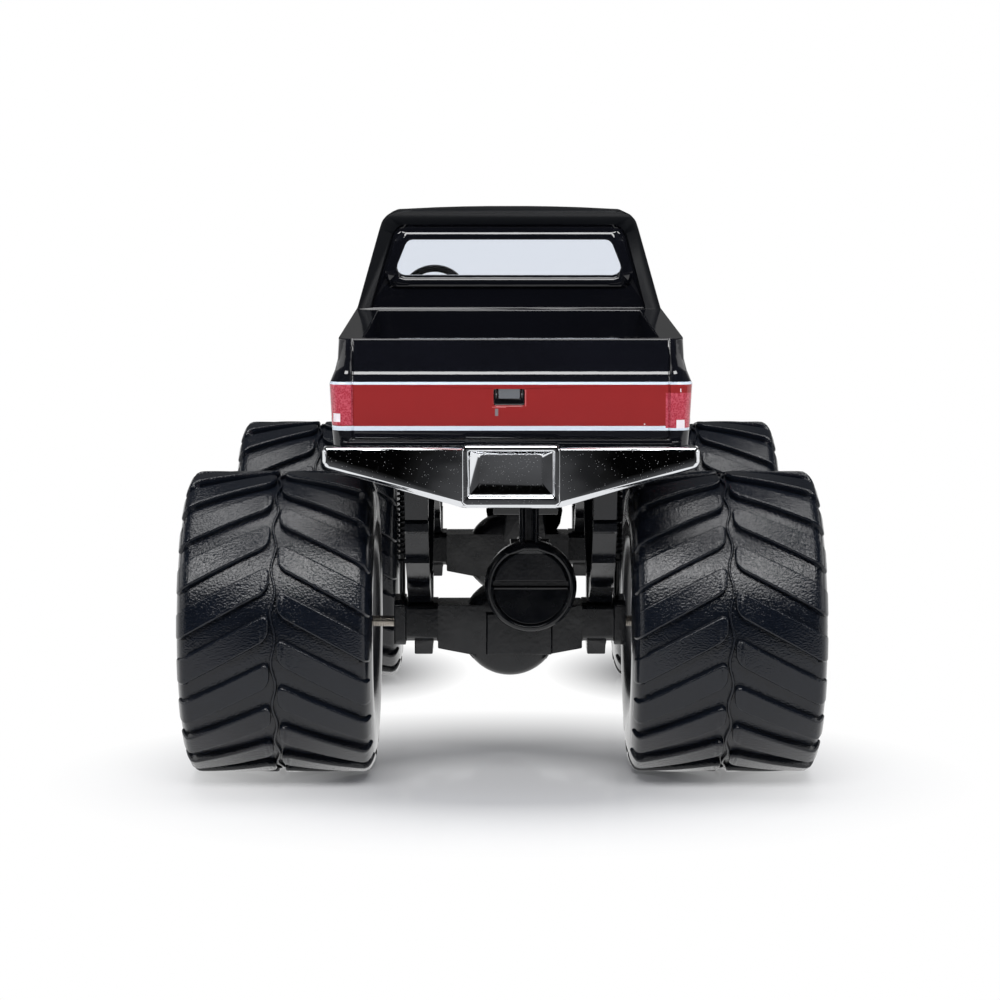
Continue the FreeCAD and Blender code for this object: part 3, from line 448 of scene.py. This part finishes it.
def lugForm():
    # one lug laid flat, not yet in metres: X outwards, Y across it, Z up to the top at 0
    length = tyre["flatLength"]
    tall = tyre["lugHeight"] + tyre["lugRoot"]
    bm = bmesh.new()
    bmesh.ops.create_cube(bm, size=1)
    bmesh.ops.scale(bm, vec=(length, tyre["lugWidth"], tall), verts=bm.verts)
    bmesh.ops.translate(bm, vec=(length / 2, 0, -tall / 2), verts=bm.verts)
    upright = [e for e in bm.edges if abs(e.verts[0].co.z - e.verts[1].co.z) > tall / 2]
    tip = [e for e in upright if e.verts[0].co.x < length / 2]
    heel = [e for e in upright if e.verts[0].co.x > length / 2]
    bmesh.ops.bevel(bm, geom=tip, affect="EDGES", offset=tyre["tipRadius"], segments=4,
                    profile=0.5, material=-1)
    heel = [e for e in heel if e.is_valid]
    bmesh.ops.bevel(bm, geom=heel, affect="EDGES", offset=tyre["heelRadius"], segments=2,
                    profile=0.5, material=-1)
    top = [e for e in bm.edges if all(v.co.z > -0.01 for v in e.verts)]
    bmesh.ops.bevel(bm, geom=top, affect="EDGES", offset=tyre["lugEdge"], segments=3,
                    profile=0.5, material=-1)
    for k in range(1, tyre["cuts"]):
        bmesh.ops.bisect_plane(bm, geom=bm.verts[:] + bm.edges[:] + bm.faces[:],
                               plane_co=(length * k / tyre["cuts"], 0, 0), plane_no=(1, 0, 0))
    return bm


def layLug(bm, side):
    # wraps the flat lug round the crown and over the shoulder of one half
    for vert in bm.verts:
        reach = min(max(vert.co.x / tyre["flatLength"], 0), 1)
        share = tyre["tipAt"] + (1 - tyre["tipAt"]) * reach
        place, out = treadLine(share)
        depth = -vert.co.z / tyre["lugHeight"]
        flare = (tyre["tipWidth"] + tyre["widening"] * share) * (1 + tyre["draft"] * depth)
        outwards = place.x / tyre["half"] - tyre["tipAt"]
        turn = tyre["startTurn"] + tyre["turnPerHalf"] * outwards
        place = place + out * vert.co.z
        angle = math.radians(-turn) + vert.co.y * flare / tyre["radius"]
        vert.co = Vector((side * place.x, -place.y * math.cos(angle),
                          place.y * math.sin(angle))) * mm


def carcass(bm):
    # bulged walls, a floor between the lugs, and beads down to the rim
    half = tyre["half"]
    floor = tyre["radius"] - tyre["lugHeight"]
    right = [(share * half, floor - drop) for share, drop in tyre["floor"]]
    right += [(half - inset, floor - drop) for inset, drop in tyre["wall"]]
    right += [(half - inset, tyre["bead"] + up) for inset, up in tyre["foot"]]
    lathe(bm, right + [(-x, r) for x, r in reversed(right[1:])], tyre["steps"])


def addSeam(bm):
    known = set(bm.verts)
    top = tyre["radius"] - tyre["seamDrop"]
    lathe(bm, [(x, top - drop) for x, drop in tyre["seam"]], tyre["seamSteps"])
    for vert in bm.verts:
        if vert not in known:
            angle = math.atan2(vert.co.z, -vert.co.y)
            swing = math.sin(tyre["lugs"] * angle + tyre["seamPhase"])
            vert.co.x += tyre["seamSwing"] * mm * swing


def tyreForm():
    bm = bmesh.new()
    carcass(bm)
    pitch = math.tau / tyre["lugs"]
    for side in (1, -1):
        lug = lugForm()
        layLug(lug, side)
        mesh = bpy.data.meshes.new("lug")
        lug.to_mesh(mesh)
        lug.free()
        for index in range(tyre["lugs"]):
            known = set(bm.verts)
            bm.from_mesh(mesh)
            fresh = [v for v in bm.verts if v not in known]
            turn = pitch * (index + (0 if side > 0 else 0.5))    # the halves are half a pitch apart
            bmesh.ops.rotate(bm, verts=fresh, cent=(0, 0, 0),
                             matrix=Matrix.Rotation(-turn, 3, "X"))
        bpy.data.meshes.remove(mesh)
    addSeam(bm)
    bmesh.ops.recalc_face_normals(bm, faces=bm.faces)
    return bm


tyreMesh = bpy.data.meshes.new("tyre_form")
form = tyreForm()
form.to_mesh(tyreMesh)
form.free()
for wheel in wheels:
    low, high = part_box("tyre_" + wheel)
    bm = bmesh.new()
    bm.from_mesh(tyreMesh)
    bmesh.ops.translate(bm, vec=(low + high) / 2, verts=bm.verts)
    body = wheel.split("_")[0] + "_wheelset"
    finishPiece(bm, "lugged_tyre_" + wheel, body, "tyre", ["tyre_" + wheel])
report("tyres")


# Rims: deep plated dishes with openings round the disc

rim = {
    "lip": (rimHigh.z - rimLow.z) / 2 / mm, "half": (rimHigh.x - rimLow.x) / 2 / mm,
    "tread": 6.2, "discX": 2.3, "discThickness": 0.7,
    "openings": 8, "openingInner": 2.73, "openingOuter": 3.84,
    "stepsEach": 12, "openSteps": (4, 5, 6, 7),  # lathe's steps to an opening, and the open ones
    "boss": 2.0, "bossHeight": 0.9, "sleeve": 1.5, "sleeveEnd": -1.7, "pin": 0.52,
}


def rimForm():
    half, tread, lip, disc = rim["half"], rim["tread"], rim["lip"], rim["discX"]
    inner, outer, boss = rim["openingInner"], rim["openingOuter"], rim["boss"]
    back = disc - rim["discThickness"]
    bossTop = disc + rim["bossHeight"]
    outline = [
        # back edge and the inside of the barrel
        (-half, lip - 0.1), (-half, lip - 0.3), (-half + 0.25, tread - 0.55),
        (-half + 0.6, tread - 0.7), (back, tread - 0.85),
        # back of the disc, and the sleeve round the pin
        (back, outer), (back, inner), (back, rim["sleeve"]), (rim["sleeveEnd"], rim["sleeve"]),
        (rim["sleeveEnd"], rim["pin"]), (bossTop, rim["pin"]),
        # boss, face of the disc and the outer dish
        (bossTop, boss - 0.3), (bossTop - 0.12, boss - 0.18), (disc, boss + 0.25),
        (disc, inner), (disc, outer), (disc + 0.1, outer + 0.5), (disc + 0.5, outer + 0.85),
        (half - 2.6, tread - 1.15), (half - 0.9, tread - 0.8), (half - 0.3, tread - 0.62),
        # rolled lip, the seat of the tyre and the back lip
        (half - 0.04, tread - 0.3), (half, lip - 0.3), (half, lip - 0.1), (half - 0.1, lip),
        (half - 0.42, lip), (half - 0.55, lip - 0.1), (half - 0.8, tread), (-half + 0.8, tread),
        (-half + 0.55, lip - 0.1), (-half + 0.42, lip), (-half + 0.1, lip)]
    bm = bmesh.new()
    each = rim["stepsEach"]
    steps = each * rim["openings"]
    lathe(bm, outline, steps)
    bmesh.ops.recalc_face_normals(bm, faces=bm.faces)

    def stepAt(point):
        # how many steps of the lathe a point lies round from +Y
        return math.atan2(point.z, point.y) / math.tau * steps

    # open the disc between its two faces
    gone = []
    for face in bm.faces:
        centre = face.calc_center_median()
        flat = abs(abs(face.normal.x) - 1) < 0.001
        if flat and inner < math.hypot(centre.y, centre.z) / mm < outer:
            if int(math.floor(stepAt(centre))) % each in rim["openSteps"]:
                gone.append(face)
    bmesh.ops.delete(bm, geom=gone, context="FACES")
    # gather the edges of each opening, counting from the step before its first
    before = rim["openSteps"][0] - 1
    loops = {}
    for edge in [e for e in bm.edges if e.is_boundary]:
        middle = (edge.verts[0].co + edge.verts[1].co) / 2
        opening = int(math.floor((stepAt(middle) - before) / each)) % rim["openings"]
        loops.setdefault(opening, []).append(edge)
    for edges in loops.values():
        bmesh.ops.bridge_loops(bm, edges=edges)
    bmesh.ops.recalc_face_normals(bm, faces=bm.faces)
    return bm


for wheel in wheels:
    low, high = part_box("rim_" + wheel)
    bm = rimForm()
    if wheel.endswith("left"):
        bmesh.ops.rotate(bm, verts=bm.verts, cent=(0, 0, 0),
                         matrix=Matrix.Rotation(math.pi, 3, "Z"))
    bmesh.ops.translate(bm, vec=(low + high) / 2, verts=bm.verts)
    body = wheel.split("_")[0] + "_wheelset"
    finishPiece(bm, "plated_rim_" + wheel, body, "chrome", ["rim_" + wheel])
report("rims")


# Coil-over dummies: a wound spring round a rod

shock = {
    "wire": 0.15, "wireSides": 6, "coil": 0.37, "pitch": 0.5, "coilSteps": 14,
    "coilFrom": 0.28, "coilLift": 0.3,          # share of the height, and how far over it
    "coilTop": 0.8,                             # room that stays above the coil
    "rod": 0.24, "seat": 0.46, "sides": 20,
    "lowerSeat": (-0.25, 0.1), "upperSeat": (-0.5, -0.2),    # from the coil's foot, and the top
}


def shockForm(low, high):
    centre = (low + high) / 2
    bm = bmesh.new()
    tall = (high.z - low.z) / mm
    start = shock["coilFrom"] * tall
    turns = int((tall - start - shock["coilTop"]) / shock["pitch"])
    wireEnd = (Matrix.Translation((shock["coil"] * mm, 0, 0))
               @ Matrix.Rotation(math.pi / 2, 4, "X"))
    bmesh.ops.create_circle(bm, cap_ends=True, radius=shock["wire"] * mm,
                            segments=shock["wireSides"], matrix=wireEnd)
    bmesh.ops.spin(bm, geom=bm.faces[:], axis=(0, 0, 1), cent=(0, 0, 0), angle=math.tau * turns,
                   steps=shock["coilSteps"] * turns,
                   dvec=(0, 0, shock["pitch"] * mm / shock["coilSteps"]))
    bmesh.ops.translate(bm, vec=(0, 0, (start + shock["coilLift"]) * mm), verts=bm.verts)
    for radius, bottom, top in ((shock["rod"], 0, tall),
                                (shock["seat"], *(start + z for z in shock["lowerSeat"])),
                                (shock["seat"], *(tall + z for z in shock["upperSeat"]))):
        bmesh.ops.create_cone(bm, cap_ends=True, segments=shock["sides"], radius1=radius * mm,
                              radius2=radius * mm, depth=(top - bottom) * mm,
                              matrix=Matrix.Translation((0, 0, (top + bottom) / 2 * mm)))
    bmesh.ops.recalc_face_normals(bm, faces=bm.faces)
    bmesh.ops.translate(bm, vec=(centre.x, centre.y, low.z), verts=bm.verts)
    return bm


for wheel in wheels:
    node = "coil_shock_" + wheel
    finishPiece(shockForm(*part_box(node)), "wound_shock_" + wheel, "truck", "chassis_plastic",
                [node])
report("shocks")


# Castings and mouldings that keep the solids' form, with their corners rounded

edgeRadius = {
    "body_casting": 0.14, "interior_tub": 0.12, "front_grille": 0.06, "headlamp_left": 0.08,
    "headlamp_right": 0.08, "rear_bumper": 0.15, "front_bumper": 0.16, "chassis_frame": 0.1,
    "transfer_case": 0.12, "steering_wheel": 0.1, "window_insert": 0.04,
    "rear_axle_housing": 0.12, "front_axle_housing": 0.12,
    "rear_differential": 0.12, "front_differential": 0.12,
}
slots = {part["node"]: part["material_slot"] for part in frame["record"]["subparts"]}
bodyOf = {node: body for body, nodes in frame["record"]["behaviour"]["bodies"].items()
          for node in nodes}

# the roof, foot of the rear window and tailgate's ledge come first: radius, angle, segments, box
shell = {
    "roof": (0.22, 15, 4, (-17, -8, 50.4), (17, 14, 54)),
    "windowFoot": (0.42, 24, 1, (-14, -3.8, 45.4), (14, -3.5, 46.2)),
    "ledge": (0.4, 24, 4, (-18, tail - 1, 38.6), (18, -4.9, 39.4)),
}

# smooth bowl under each axle
bowl = {
    "outline": [(-2.16, 0), (-2.16, 3.4), (-2.0, 3.95), (-1.55, 4.35), (-0.85, 4.53), (0, 4.58),
                (0.85, 4.53), (1.55, 4.35), (2.0, 3.95), (2.16, 3.4), (2.16, 0)],
    "drop": 0.5, "steps": 96,
    "facets": (4.2, 4.8), "below": 3.0, "drawnIn": 0.12,     # the solid's own, and how far in
}

# the steering wheel's rim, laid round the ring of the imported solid
steering = {
    "at": (-7.73, 9.1, 43.5), "turn": 55, "ring": 3.0, "rim": 0.38, "sides": 12, "steps": 48,
}


def bowlForm(bm, node):
    # turned bowl round the flat facets of the solid's, which draw back inside it
    joint = [j for j in frame["joints"] if j["name"] == node.split("_")[0] + "_roll"][0]
    centre = Vector(joint["pos_m"]) - Vector((0, 0, bowl["drop"] * mm))
    near, far = bowl["facets"]
    for vert in bm.verts:
        outward = Vector((vert.co.x - centre.x, 0, vert.co.z - centre.z))
        if near < outward.length / mm < far and outward.z < -bowl["below"] * mm:
            vert.co -= bowl["drawnIn"] * outward
    turned = bmesh.new()
    lathe(turned, bowl["outline"], bowl["steps"])
    bmesh.ops.remove_doubles(turned, verts=turned.verts, dist=casting["poleWithin"] * mm)
    bmesh.ops.rotate(turned, verts=turned.verts, cent=(0, 0, 0),
                     matrix=Matrix.Rotation(math.pi / 2, 3, "Z"))
    bmesh.ops.translate(turned, vec=centre, verts=turned.verts)
    bmesh.ops.recalc_face_normals(turned, faces=turned.faces)
    return turned


def wheelRimForm():
    angles = [math.tau * k / steering["sides"] for k in range(steering["sides"])]
    ring = bmesh.new()
    lathe(ring, [(steering["rim"] * math.cos(a), steering["ring"] + steering["rim"] * math.sin(a))
                 for a in angles], steering["steps"])
    lean = Matrix.Rotation(math.radians(steering["turn"]), 3, "X")
    bmesh.ops.rotate(ring, verts=ring.verts, cent=(0, 0, 0),
                     matrix=lean @ Matrix.Rotation(math.pi / 2, 3, "Y"))
    bmesh.ops.translate(ring, vec=Vector(steering["at"]) * mm, verts=ring.verts)
    bmesh.ops.recalc_face_normals(ring, faces=ring.faces)
    return ring


def softCasting(node):
    bm = solidOf(node)
    extra = None
    if node == "body_casting":
        for radius, angle, segments, low, high in shell.values():
            softenEdges(bm, radius * mm, angle, segments, low, high)
    if node.endswith("axle_housing"):
        extra = bowlForm(bm, node)
    if node == "steering_wheel":
        extra = wheelRimForm()
    softenEdges(bm, edgeRadius[node] * mm)
    if extra:
        addMesh(bm, extra)
    return finishPiece(bm, node + "_moulding", bodyOf[node], slots[node], [node])


cover = {
    "radius": 4.29, "plate": 2.5, "neckFrom": 3.1, "steps": 72,
    # out from the plate, and radius
    "ring": [(0, 0), (0, 4.0), (0.15, 4.2), (1.6, 4.28), (1.95, 4.24), (2.2, 4.12), (2.34, 3.96),
             (2.38, 3.8), (2.33, 3.66), (2.2, 3.56), (2.0, 3.5), (1.85, 3.44), (1.85, 0)],
    "face": 3.44, "faceSteps": 64, "faceOut": 1.7,
    # domed top, ledge and lower half of the face: from and to, out, slope and rounding
    "slices": [(0.5, 3.44, 2.2, 0.0, 0.16), (-0.22, 0.02, 2.26, 0.0, 0.07),
               (-3.44, -0.22, 1.92, 0.12, 0.06)],
}


def coverPart(bm, foot, top, out, slope, edge):
    # a slice of the cover's round face between two heights, its rim softened
    part = bmesh.new()
    bmesh.ops.create_circle(part, cap_ends=True, radius=cover["face"] * mm,
                            segments=cover["faceSteps"],
                            matrix=Matrix.Rotation(math.pi / 2, 4, "X"))
    for height, up in ((foot, -1), (top, 1)):
        bmesh.ops.bisect_plane(part, geom=part.verts[:] + part.edges[:] + part.faces[:],
                               plane_co=(0, 0, height * mm), plane_no=(0, 0, up), clear_outer=True)
    grown = bmesh.ops.extrude_face_region(part, geom=part.faces[:])["geom"]
    front = [v for v in grown if isinstance(v, bmesh.types.BMVert)]
    for vert in front:
        vert.co.y -= (out - cover["faceOut"] + slope * (top - vert.co.z / mm)) * mm
    rimEdges = [e for e in part.edges if e.verts[0] in front and e.verts[1] in front]
    bmesh.ops.bevel(part, geom=rimEdges, affect="EDGES", offset=edge * mm, segments=3,
                    profile=0.5, material=-1)
    bmesh.ops.translate(part, vec=(0, -cover["faceOut"] * mm, 0), verts=part.verts)
    addMesh(bm, part)


def coverForm():
    # ringed disc facing -Y from the plate, with the raised parts of its face
    bm = bmesh.new()
    lathe(bm, cover["ring"], cover["steps"])
    bmesh.ops.remove_doubles(bm, verts=bm.verts, dist=casting["poleWithin"] * mm)
    bmesh.ops.rotate(bm, verts=bm.verts, cent=(0, 0, 0),
                     matrix=Matrix.Rotation(-math.pi / 2, 3, "Z"))
    for part in cover["slices"]:
        coverPart(bm, *part)
    return bm


def differentialForm(node):
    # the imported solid's carrier, nose and neck, with the turned cover in place of its facets
    low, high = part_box(node)
    facing = -1 if node.startswith("rear") else 1
    faceY = low.y if facing < 0 else high.y
    plateY = faceY - facing * cover["plate"] * mm
    centre = Vector(((low.x + high.x) / 2, plateY, low.z + cover["radius"] * mm))
    behind = ((0, plateY, 0), (0, facing, 0))
    before = ((0, plateY, 0), (0, -facing, 0))
    above = ((0, 0, centre.z + cover["neckFrom"] * mm), (0, 0, -1))
    bm = bmesh.new()
    for planes in ([behind], [before, above]):
        part = solidOf(node)
        for place, normal in planes:
            bmesh.ops.bisect_plane(part, geom=part.verts[:] + part.edges[:] + part.faces[:],
                                   plane_co=place, plane_no=normal, clear_outer=True)
            bmesh.ops.holes_fill(part, edges=[e for e in part.edges if e.is_boundary], sides=0)
        softenEdges(part, edgeRadius[node] * mm)
        addMesh(bm, part)
    disc = coverForm()
    if facing > 0:
        bmesh.ops.scale(disc, vec=(1, -1, 1), verts=disc.verts)
    bmesh.ops.translate(disc, vec=centre, verts=disc.verts)
    bmesh.ops.recalc_face_normals(disc, faces=disc.faces)
    addMesh(bm, disc)
    return bm


for node in ("rear_differential", "front_differential"):
    finishPiece(differentialForm(node), node + "_moulding", bodyOf[node], slots[node], [node])
castings = {node: softCasting(node) for node in edgeRadius if "differential" not in node}

# the roof and pillars are satin, the recessed back panel and everything below stay gloss:
# half width and height of the panel at its foot and top
cab = {
    "satinFrom": 42.9, "back": -4.1, "panelDepth": 2.2,
    "panelFoot": (13.75, 42.6), "panelTop": (11.25, 50.95),
}
footHalf, footZ = cab["panelFoot"]
topHalf, topZ = cab["panelTop"]
panelLean = (footHalf - topHalf) / (topZ - footZ)
bodyShell = castings["body_casting"]
bodyShell.data.materials.append(materials["roof_paint"])
for polygon in bodyShell.data.polygons:
    centre = polygon.center / mm
    panelHalf = footHalf - panelLean * (centre.z - footZ)
    recessed = (centre.y < cab["back"] + cab["panelDepth"] and abs(centre.x) < panelHalf
                and centre.z < topZ)
    if centre.z > cab["satinFrom"] and not recessed:
        polygon.material_index = 1
for node, holder in frame["nodes"].items():
    if node not in edgeRadius:
        holder.data.materials.clear()
        holder.data.materials.append(materials[slots[node]])
report("castings")


# Studio

studio = {
    "floorSize": 6.0, "floorColour": "#F4F4F5", "floorBelow": 0.00005,
    # the floor's shadows stay visible near a middle between the rear tyres and near each front
    # tyre, and go over to white at these shares of the reach
    "shadows": [((0, -0.0255, 0), (0.038, 0.026, 1)), ((0.0205, 0.0255, 0), (0.014, 0.017, 1))],
    "fade": (0.4, 1.15), "nearShare": 0.05,
    # what reflections find: the sheet's end behind the truck, and the room
    "sheetEnd": (-0.13, -0.1), "reflected": 0.92, "dark": 0.012, "ceiling": 0.08,
    "ahead": (-0.25, 0.1), "horizon": (-0.02, 0.035),
    "sideWall": (0.6, 0.9), "wallLight": 0.6, "wallTop": (0.35, 0.55), "aboveWall": 0.1,
    "ambient": 0.28, "ambientColour": "#E4ECFF", "white": "#FFFFFF",
    # name, place, point that it faces, size and watts
    "softboxes": [
        ("key_behind_camera", (0, -0.35, 0.4), (0, -0.03, 0.02), (0.36, 0.15), 2.0),
        ("overhead", (0, 0.02, 0.6), (0, 0.02, 0.02), (0.4, 0.28), 1.8),
        ("left_wall", (-0.8, 0, 0.25), (0, 0, 0.03), (1.6, 0.3), 1.5),
        ("right_wall", (0.8, 0, 0.25), (0, 0, 0.03), (1.6, 0.3), 1.5)],
}


def floorMaterial():
    # White acrylic sheet: white to the camera beyond the truck, a soft shadow and a faint
    # mirror image near it.
    material, tree, shader, place = newMaterial("white_acrylic_sheet", {
        "Base Color": linear(studio["floorColour"]), "Roughness": 0.05, "IOR": 1.45})
    path = addNode(tree, "ShaderNodeLightPath")
    xyz = addNode(tree, "ShaderNodeSeparateXYZ", links={0: place})
    side = addNode(tree, "ShaderNodeMath", {"operation": "ABSOLUTE"}, {0: xyz.outputs[0]})
    folded = addNode(tree, "ShaderNodeCombineXYZ", links={0: side.outputs[0], 1: xyz.outputs[1]})
    distances = []
    for middle, reach in studio["shadows"]:
        offset = addNode(tree, "ShaderNodeVectorMath", {"operation": "SUBTRACT", 1: middle},
                         {0: folded.outputs[0]})
        spread = addNode(tree, "ShaderNodeVectorMath", {"operation": "DIVIDE", 1: reach},
                         {0: offset.outputs[0]})
        distances.append(addNode(tree, "ShaderNodeVectorMath", {"operation": "LENGTH"},
                                 {0: spread.outputs[0]}))
    away = addNode(tree, "ShaderNodeMath", {"operation": "MINIMUM"},
                   {0: distances[0].outputs["Value"], 1: distances[1].outputs["Value"]})
    fade = addNode(tree, "ShaderNodeMapRange", {
        1: studio["fade"][0], 2: studio["fade"][1], 3: studio["nearShare"], 4: 1.0},
        {0: away.outputs[0]})
    seen = addNode(tree, "ShaderNodeMath", {"operation": "MULTIPLY"},
                   {0: fade.outputs[0], 1: path.outputs["Is Camera Ray"]})
    mirrored = addNode(tree, "ShaderNodeMath", {"operation": "MULTIPLY", 1: studio["reflected"]},
                       {0: path.outputs["Is Glossy Ray"]})
    share = addNode(tree, "ShaderNodeMath", {"operation": "MAXIMUM"},
                    {0: seen.outputs[0], 1: mirrored.outputs[0]})
    clear = addNode(tree, "ShaderNodeMath", {"operation": "MAXIMUM"},
                    {0: share.outputs[0], 1: path.outputs["Is Transmission Ray"]})
    sheet = addNode(tree, "ShaderNodeMapRange", {
        1: studio["sheetEnd"][0], 2: studio["sheetEnd"][1], 3: studio["dark"], 4: 1.0},
        {0: xyz.outputs[1]})
    ended = addNode(tree, "ShaderNodeMix", {"data_type": "FLOAT", 2: 1.0},
                    {0: path.outputs["Is Glossy Ray"], 3: sheet.outputs[0]})
    glow = addNode(tree, "ShaderNodeEmission", {"Color": linear(studio["white"])},
                   {"Strength": ended.outputs[0]})
    mixed = addNode(tree, "ShaderNodeMixShader",
                    links={0: clear.outputs[0], 1: shader.outputs[0], 2: glow.outputs[0]})
    output = [n for n in tree.nodes if n.type == "OUTPUT_MATERIAL"][0]
    tree.links.new(mixed.outputs[0], output.inputs["Surface"])
    return material


bm = bmesh.new()
bmesh.ops.create_grid(bm, x_segments=1, y_segments=1, size=studio["floorSize"] / 2)
floorMesh = bpy.data.meshes.new("floor")
bm.to_mesh(floorMesh)
bm.free()
floor = bpy.data.objects.new("floor", floorMesh)
floorMesh.materials.append(floorMaterial())
bpy.context.scene.collection.objects.link(floor)
floor.location.z = cadBox[0][2] - studio["floorBelow"]

for name, place, target, size, power in studio["softboxes"]:
    light = bpy.data.lights.new(name, "AREA")
    light.shape = "RECTANGLE"
    light.size, light.size_y = size
    light.energy = power
    holder = bpy.data.objects.new(name, light)
    holder.location = place
    holder.rotation_euler = (Vector(target) - Vector(place)).to_track_quat("-Z", "Y").to_euler()
    bpy.context.scene.collection.objects.link(holder)


def roomWorld():
    # white to the camera and through glass, while reflections see a lit room
    world = bpy.data.worlds.new("studio")
    world.use_nodes = True
    tree = world.node_tree
    tree.nodes.clear()
    output = addNode(tree, "ShaderNodeOutputWorld")
    path = addNode(tree, "ShaderNodeLightPath")
    # a white room in front of the truck, up to the horizon, and a dark one behind the camera
    view = addNode(tree, "ShaderNodeTexCoord")
    direction = addNode(tree, "ShaderNodeSeparateXYZ", links={0: view.outputs["Generated"]})
    forward = addNode(tree, "ShaderNodeMapRange", {
        1: studio["ahead"][0], 2: studio["ahead"][1], 3: studio["dark"], 4: 1.0},
        {0: direction.outputs[1]})
    upward = addNode(tree, "ShaderNodeMapRange", {
        1: studio["horizon"][0], 2: studio["horizon"][1], 3: 1.0, 4: studio["ceiling"]},
        {0: direction.outputs[2]})
    ahead = addNode(tree, "ShaderNodeMath", {"operation": "MULTIPLY"},
                    {0: forward.outputs[0], 1: upward.outputs[0]})
    # the white side walls stand higher than the sheet in front
    across = addNode(tree, "ShaderNodeMath", {"operation": "ABSOLUTE"}, {0: direction.outputs[0]})
    sideWall = addNode(tree, "ShaderNodeMapRange", {
        1: studio["sideWall"][0], 2: studio["sideWall"][1], 3: 0.0, 4: studio["wallLight"]},
        {0: across.outputs[0]})
    wallTop = addNode(tree, "ShaderNodeMapRange", {
        1: studio["wallTop"][0], 2: studio["wallTop"][1], 3: 1.0, 4: studio["aboveWall"]},
        {0: direction.outputs[2]})
    beside = addNode(tree, "ShaderNodeMath", {"operation": "MULTIPLY"},
                     {0: sideWall.outputs[0], 1: wallTop.outputs[0]})
    lit = addNode(tree, "ShaderNodeMath", {"operation": "MAXIMUM"},
                  {0: ahead.outputs[0], 1: beside.outputs[0]})
    white = linear(studio["white"])
    room = addNode(tree, "ShaderNodeBackground", {"Color": white}, {"Strength": lit.outputs[0]})
    ambient = addNode(tree, "ShaderNodeBackground", {
        "Color": linear(studio["ambientColour"]), "Strength": studio["ambient"]})
    backdrop = addNode(tree, "ShaderNodeBackground", {"Color": white, "Strength": 1.0})
    first = addNode(tree, "ShaderNodeMixShader", links={
        0: path.outputs["Is Glossy Ray"], 1: ambient.outputs[0], 2: room.outputs[0]})
    clear = addNode(tree, "ShaderNodeMath", {"operation": "MAXIMUM"},
                    {0: path.outputs["Is Camera Ray"], 1: path.outputs["Is Transmission Ray"]})
    last = addNode(tree, "ShaderNodeMixShader", links={
        0: clear.outputs[0], 1: first.outputs[0], 2: backdrop.outputs[0]})
    tree.links.new(last.outputs[0], output.inputs["Surface"])
    return world


bpy.context.scene.world = roomWorld()

# Camera: fitted to the photograph's frame of 1000 by 1000
lens = {
    "focal": 2683 / 1000 * 36, "sensor": 36, "clip": 0.01,
    "behindRearAxle": 249.7, "height": 58.24, "side": -1.43, "pitch": 7.426,
    "yaw": 0.002,                               # in radians
}
rearAxle = [j for j in frame["joints"] if j["name"] == "rear_roll"][0]["pos_m"]
cameraData = bpy.data.cameras.new("photo_camera")
cameraData.sensor_width = lens["sensor"]
cameraData.lens = lens["focal"]
cameraData.clip_start = lens["clip"]
camera = bpy.data.objects.new("photo_camera", cameraData)
camera.location = (lens["side"] * mm, rearAxle[1] - lens["behindRearAxle"] * mm,
                   lens["height"] * mm)
camera.rotation_euler = (math.radians(90 - lens["pitch"]), 0, -lens["yaw"])
bpy.context.scene.collection.objects.link(camera)
bpy.context.scene.camera = camera
bpy.context.scene.view_settings.view_transform = "Standard"
report("studio")
